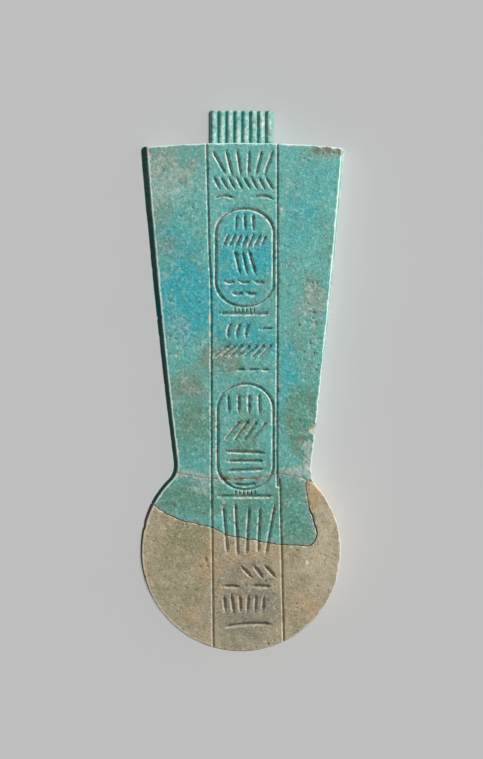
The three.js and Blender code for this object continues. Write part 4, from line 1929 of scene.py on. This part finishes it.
@dataclass(frozen=True)
class BuffFinish:
    """Matt, sandy buff body with no glaze."""

    buff: tuple = paint(158, 148, 122)
    sand: tuple = paint(172, 160, 132)
    olive: tuple = paint(138, 135, 100)
    ochre: tuple = paint(178, 150, 110)
    grey: tuple = paint(130, 126, 113)
    dark: tuple = paint(74, 67, 54)
    light: tuple = paint(184, 173, 147)
    pale: tuple = paint(212, 204, 186)

    def material(self) -> bpy.types.Material:
        """Makes the buff body.

        Returns:
            The material.
        """
        tree = FinishTree("sandy_buff")
        cloud = tree.grain(12.0, 4.0)
        patch = tree.grain(3.6, 5.0, 0.62)
        fleck = tree.grain(0.9, 3.0, 0.6)
        grit = tree.grain(0.36, 2.0, 0.65)
        pepper = tree.grain(0.5, 1.0, 0.5)

        drift = tree.sums("SUBTRACT", tree.sums("ADD", cloud, patch), 1.0)
        colour = tree.blend(tree.span(cloud, 0.35, 0.65), self.buff, self.sand)
        for mask, tone in (
            (Mask.PALE, self.light),
            (Mask.BLUE, self.grey),
            (Mask.WARM, self.ochre),
            (Mask.GREEN, self.olive),
        ):
            share = tree.span(tree.sums("ADD", tree.mask(mask), drift), 0.15, 0.95, 0.9)
            colour = tree.blend(share, colour, tone)
        veil = tree.grain(5.0, 5.0, 0.62)
        blotch = tree.grain(1.8, 4.0, 0.6)
        for noise, low, high, most, tone in (
            (veil, 0.5, 0.66, 0.6, self.ochre),
            (veil, 0.5, 0.34, 0.6, self.olive),
            (blotch, 0.5, 0.68, 0.55, self.light),
            (blotch, 0.48, 0.3, 0.45, self.grey),
            (fleck, 0.54, 0.72, 0.4, self.pale),
            (fleck, 0.46, 0.28, 0.4, self.dark),
            (grit, 0.5, 0.74, 0.45, self.pale),
            (grit, 0.48, 0.26, 0.55, self.dark),
            (pepper, 0.68, 0.76, 0.7, self.dark),
        ):
            colour = tree.blend(tree.span(noise, low, high, most), colour, tone)
        # Painted shade: walls that face left of the buff piece are darkened.
        colour = tree.blend(tree.sums("MULTIPLY", tree.mask(Mask.SHADE), 0.8), colour, self.dark)
        # Pale edge wear, plus painted light on walls that face right.
        pale_wear_and_light = tree.sums("SUBTRACT", tree.sums("ADD", tree.mask(Mask.WEAR), fleck), 0.5)
        colour = tree.blend(tree.span(pale_wear_and_light, 0.3, 0.85, 0.7), colour, self.pale)
        lip = tree.sums("MULTIPLY", tree.mask(Mask.LIP), tree.span(fleck, 0.3, 0.6, 0.35))
        colour = tree.blend(lip, colour, self.pale)
        # Grey dirt in the cuts, which also serves as painted shade there.
        dirt_and_cut_shade = tree.sums("MULTIPLY", tree.mask(Mask.CUT), tree.span(patch, 0.3, 0.6, 0.5))
        colour = tree.blend(dirt_and_cut_shade, colour, self.grey)
        colour = tree.blend(tree.span(tree.mask(Mask.LOSS), 0.3, 0.8, 0.8), colour, self.pale)
        colour = tree.blend(tree.mask(Mask.STAIN), colour, self.dark)

        tree.feed(tree.shader.inputs["Base Color"], colour)
        tree.feed(tree.shader.inputs["Roughness"], tree.sums("ADD", tree.sums("MULTIPLY", fleck, 0.2), 0.72))
        shine = tree.sums("MULTIPLY", tree.sums("SUBTRACT", 1.0, tree.mask(Mask.SHADE)), 0.25)
        tree.feed(tree.shader.inputs["Specular IOR Level"], shine)
        relief = tree.sums("ADD", tree.sums("MULTIPLY", grit, 0.8), fleck)
        tree.bump(relief, 0.16, 0.6)
        return tree.material


@dataclass(frozen=True)
class FloorFinish:
    """Plain pale matt floor."""

    grey: tuple = paint(191, 191, 191)
    shade: tuple = paint(187, 187, 187)

    def material(self) -> bpy.types.Material:
        """Makes the floor's finish.

        Returns:
            The material.
        """
        tree = FinishTree("pale_floor")
        colour = tree.blend(tree.grain(40.0, 4.0), self.grey, self.shade)
        tree.feed(tree.shader.inputs["Base Color"], colour)
        tree.feed(tree.shader.inputs["Roughness"], 0.9)
        tree.feed(tree.shader.inputs["Specular IOR Level"], 0.1)
        return tree.material


@dataclass(frozen=True)
class Lamp:
    """A soft square lamp aimed at the pendant."""

    name: str
    azimuth: float
    elevation: float
    distance: float
    size: float
    power: float
    for_floor: bool = False

    def light_only(self, lamp: bpy.types.Object, floor: bpy.types.Object) -> None:
        """Keeps the lamp's light to the floor, or off it.

        Args:
            lamp: The hung lamp.
            floor: The floor.
        """
        lit = bpy.data.collections.new(self.name + "_lights")
        lit.objects.link(floor)
        lamp.light_linking.receiver_collection = lit
        lit.collection_objects[0].light_linking.link_state = "INCLUDE" if self.for_floor else "EXCLUDE"

    def build(self) -> bpy.types.Object:
        """Hangs the lamp.

        Returns:
            The lamp, in the scene and aimed.
        """
        light = bpy.data.lights.new(self.name, "AREA")
        light.size = self.size
        light.energy = self.power
        lamp = bpy.data.objects.new(self.name, light)
        bpy.context.scene.collection.objects.link(lamp)
        around = math.radians(self.azimuth)
        up = math.radians(self.elevation)
        toward = Vector((math.cos(around) * math.cos(up), math.sin(around) * math.cos(up), math.sin(up)))
        lamp.location = toward * self.distance
        lamp.rotation_euler = toward.to_track_quat("Z", "Y").to_euler()
        return lamp


@dataclass(frozen=True)
class Studio:
    """Floor, soft light and camera."""

    floor_half: float = 2.5
    floor_drop: float = 0.00005
    lens: float = 150.0
    sensor: float = 36.0
    frame_height: float = 196.1
    aim: tuple[float, float, float] = (-0.8, 0.3, 8.0)
    lean_left: float = 3.6
    sky: float = 0.13
    lamps: tuple[Lamp, ...] = (
        Lamp("key_lamp", 32.0, 29.0, 0.9, 0.24, 12.0),
        Lamp("top_lamp", 100.0, 62.0, 1.3, 0.9, 3.2),
        Lamp("floor_lamp", 0.0, 90.0, 2.5, 0.3, 54.5, for_floor=True),
    )

    def build(self) -> None:
        """Sets everything up round the pendant."""
        floor = self.build_floor()
        for lamp in self.lamps:
            lamp.light_only(lamp.build(), floor)
        self.build_sky()
        self.build_camera()
        bpy.context.scene.view_settings.view_transform = "Standard"

    def build_floor(self) -> bpy.types.Object:
        """Lays the floor.

        Returns:
            The floor.
        """
        half = self.floor_half
        corners = [(-half, -half, 0.0), (half, -half, 0.0), (half, half, 0.0), (-half, half, 0.0)]
        mesh = bpy.data.meshes.new("floor")
        mesh.from_pydata(corners, [], [(0, 1, 2, 3)])
        mesh.materials.append(FloorFinish().material())
        floor = bpy.data.objects.new("floor", mesh)
        floor.location.z = -self.floor_drop
        bpy.context.scene.collection.objects.link(floor)
        return floor

    def build_sky(self) -> None:
        """Sets the even light from all round."""
        world = bpy.data.worlds.new("studio")
        world.use_nodes = True
        background = world.node_tree.nodes["Background"]
        background.inputs["Color"].default_value = (1.0, 1.0, 1.0, 1.0)
        background.inputs["Strength"].default_value = self.sky
        bpy.context.scene.world = world

    def build_camera(self) -> None:
        """Looks down on the carved face, from a little to the left."""
        data = bpy.data.cameras.new("camera")
        data.lens = self.lens
        data.sensor_width = self.sensor
        camera = bpy.data.objects.new("camera", data)
        bpy.context.scene.collection.objects.link(camera)
        lean = math.radians(self.lean_left)
        distance = self.frame_height * MM * self.lens / self.sensor
        toward = Vector((-math.sin(lean), 0.0, math.cos(lean)))
        camera.location = Vector(self.aim) * MM + toward * distance
        camera.rotation_euler = (0.0, -lean, 0.0)
        bpy.context.scene.camera = camera


def main() -> None:
    """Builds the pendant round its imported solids, and the studio round the pendant."""
    logging.basicConfig(level=logging.INFO)
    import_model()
    Studio().build()
    finishes = {"glaze": GlazeFinish().material(), "buff": BuffFinish().material()}
    form = PendantForm()
    for kind in (GlazedBlade, GlazedShoulder, BuffDiscFill):
        part = kind(form)
        piece = part.build()
        part.dress(piece, finishes[part.slot])
        LOG.info("%s: %d faces", piece.name, len(piece.data.polygons))


if __name__ == "__main__":
    main()
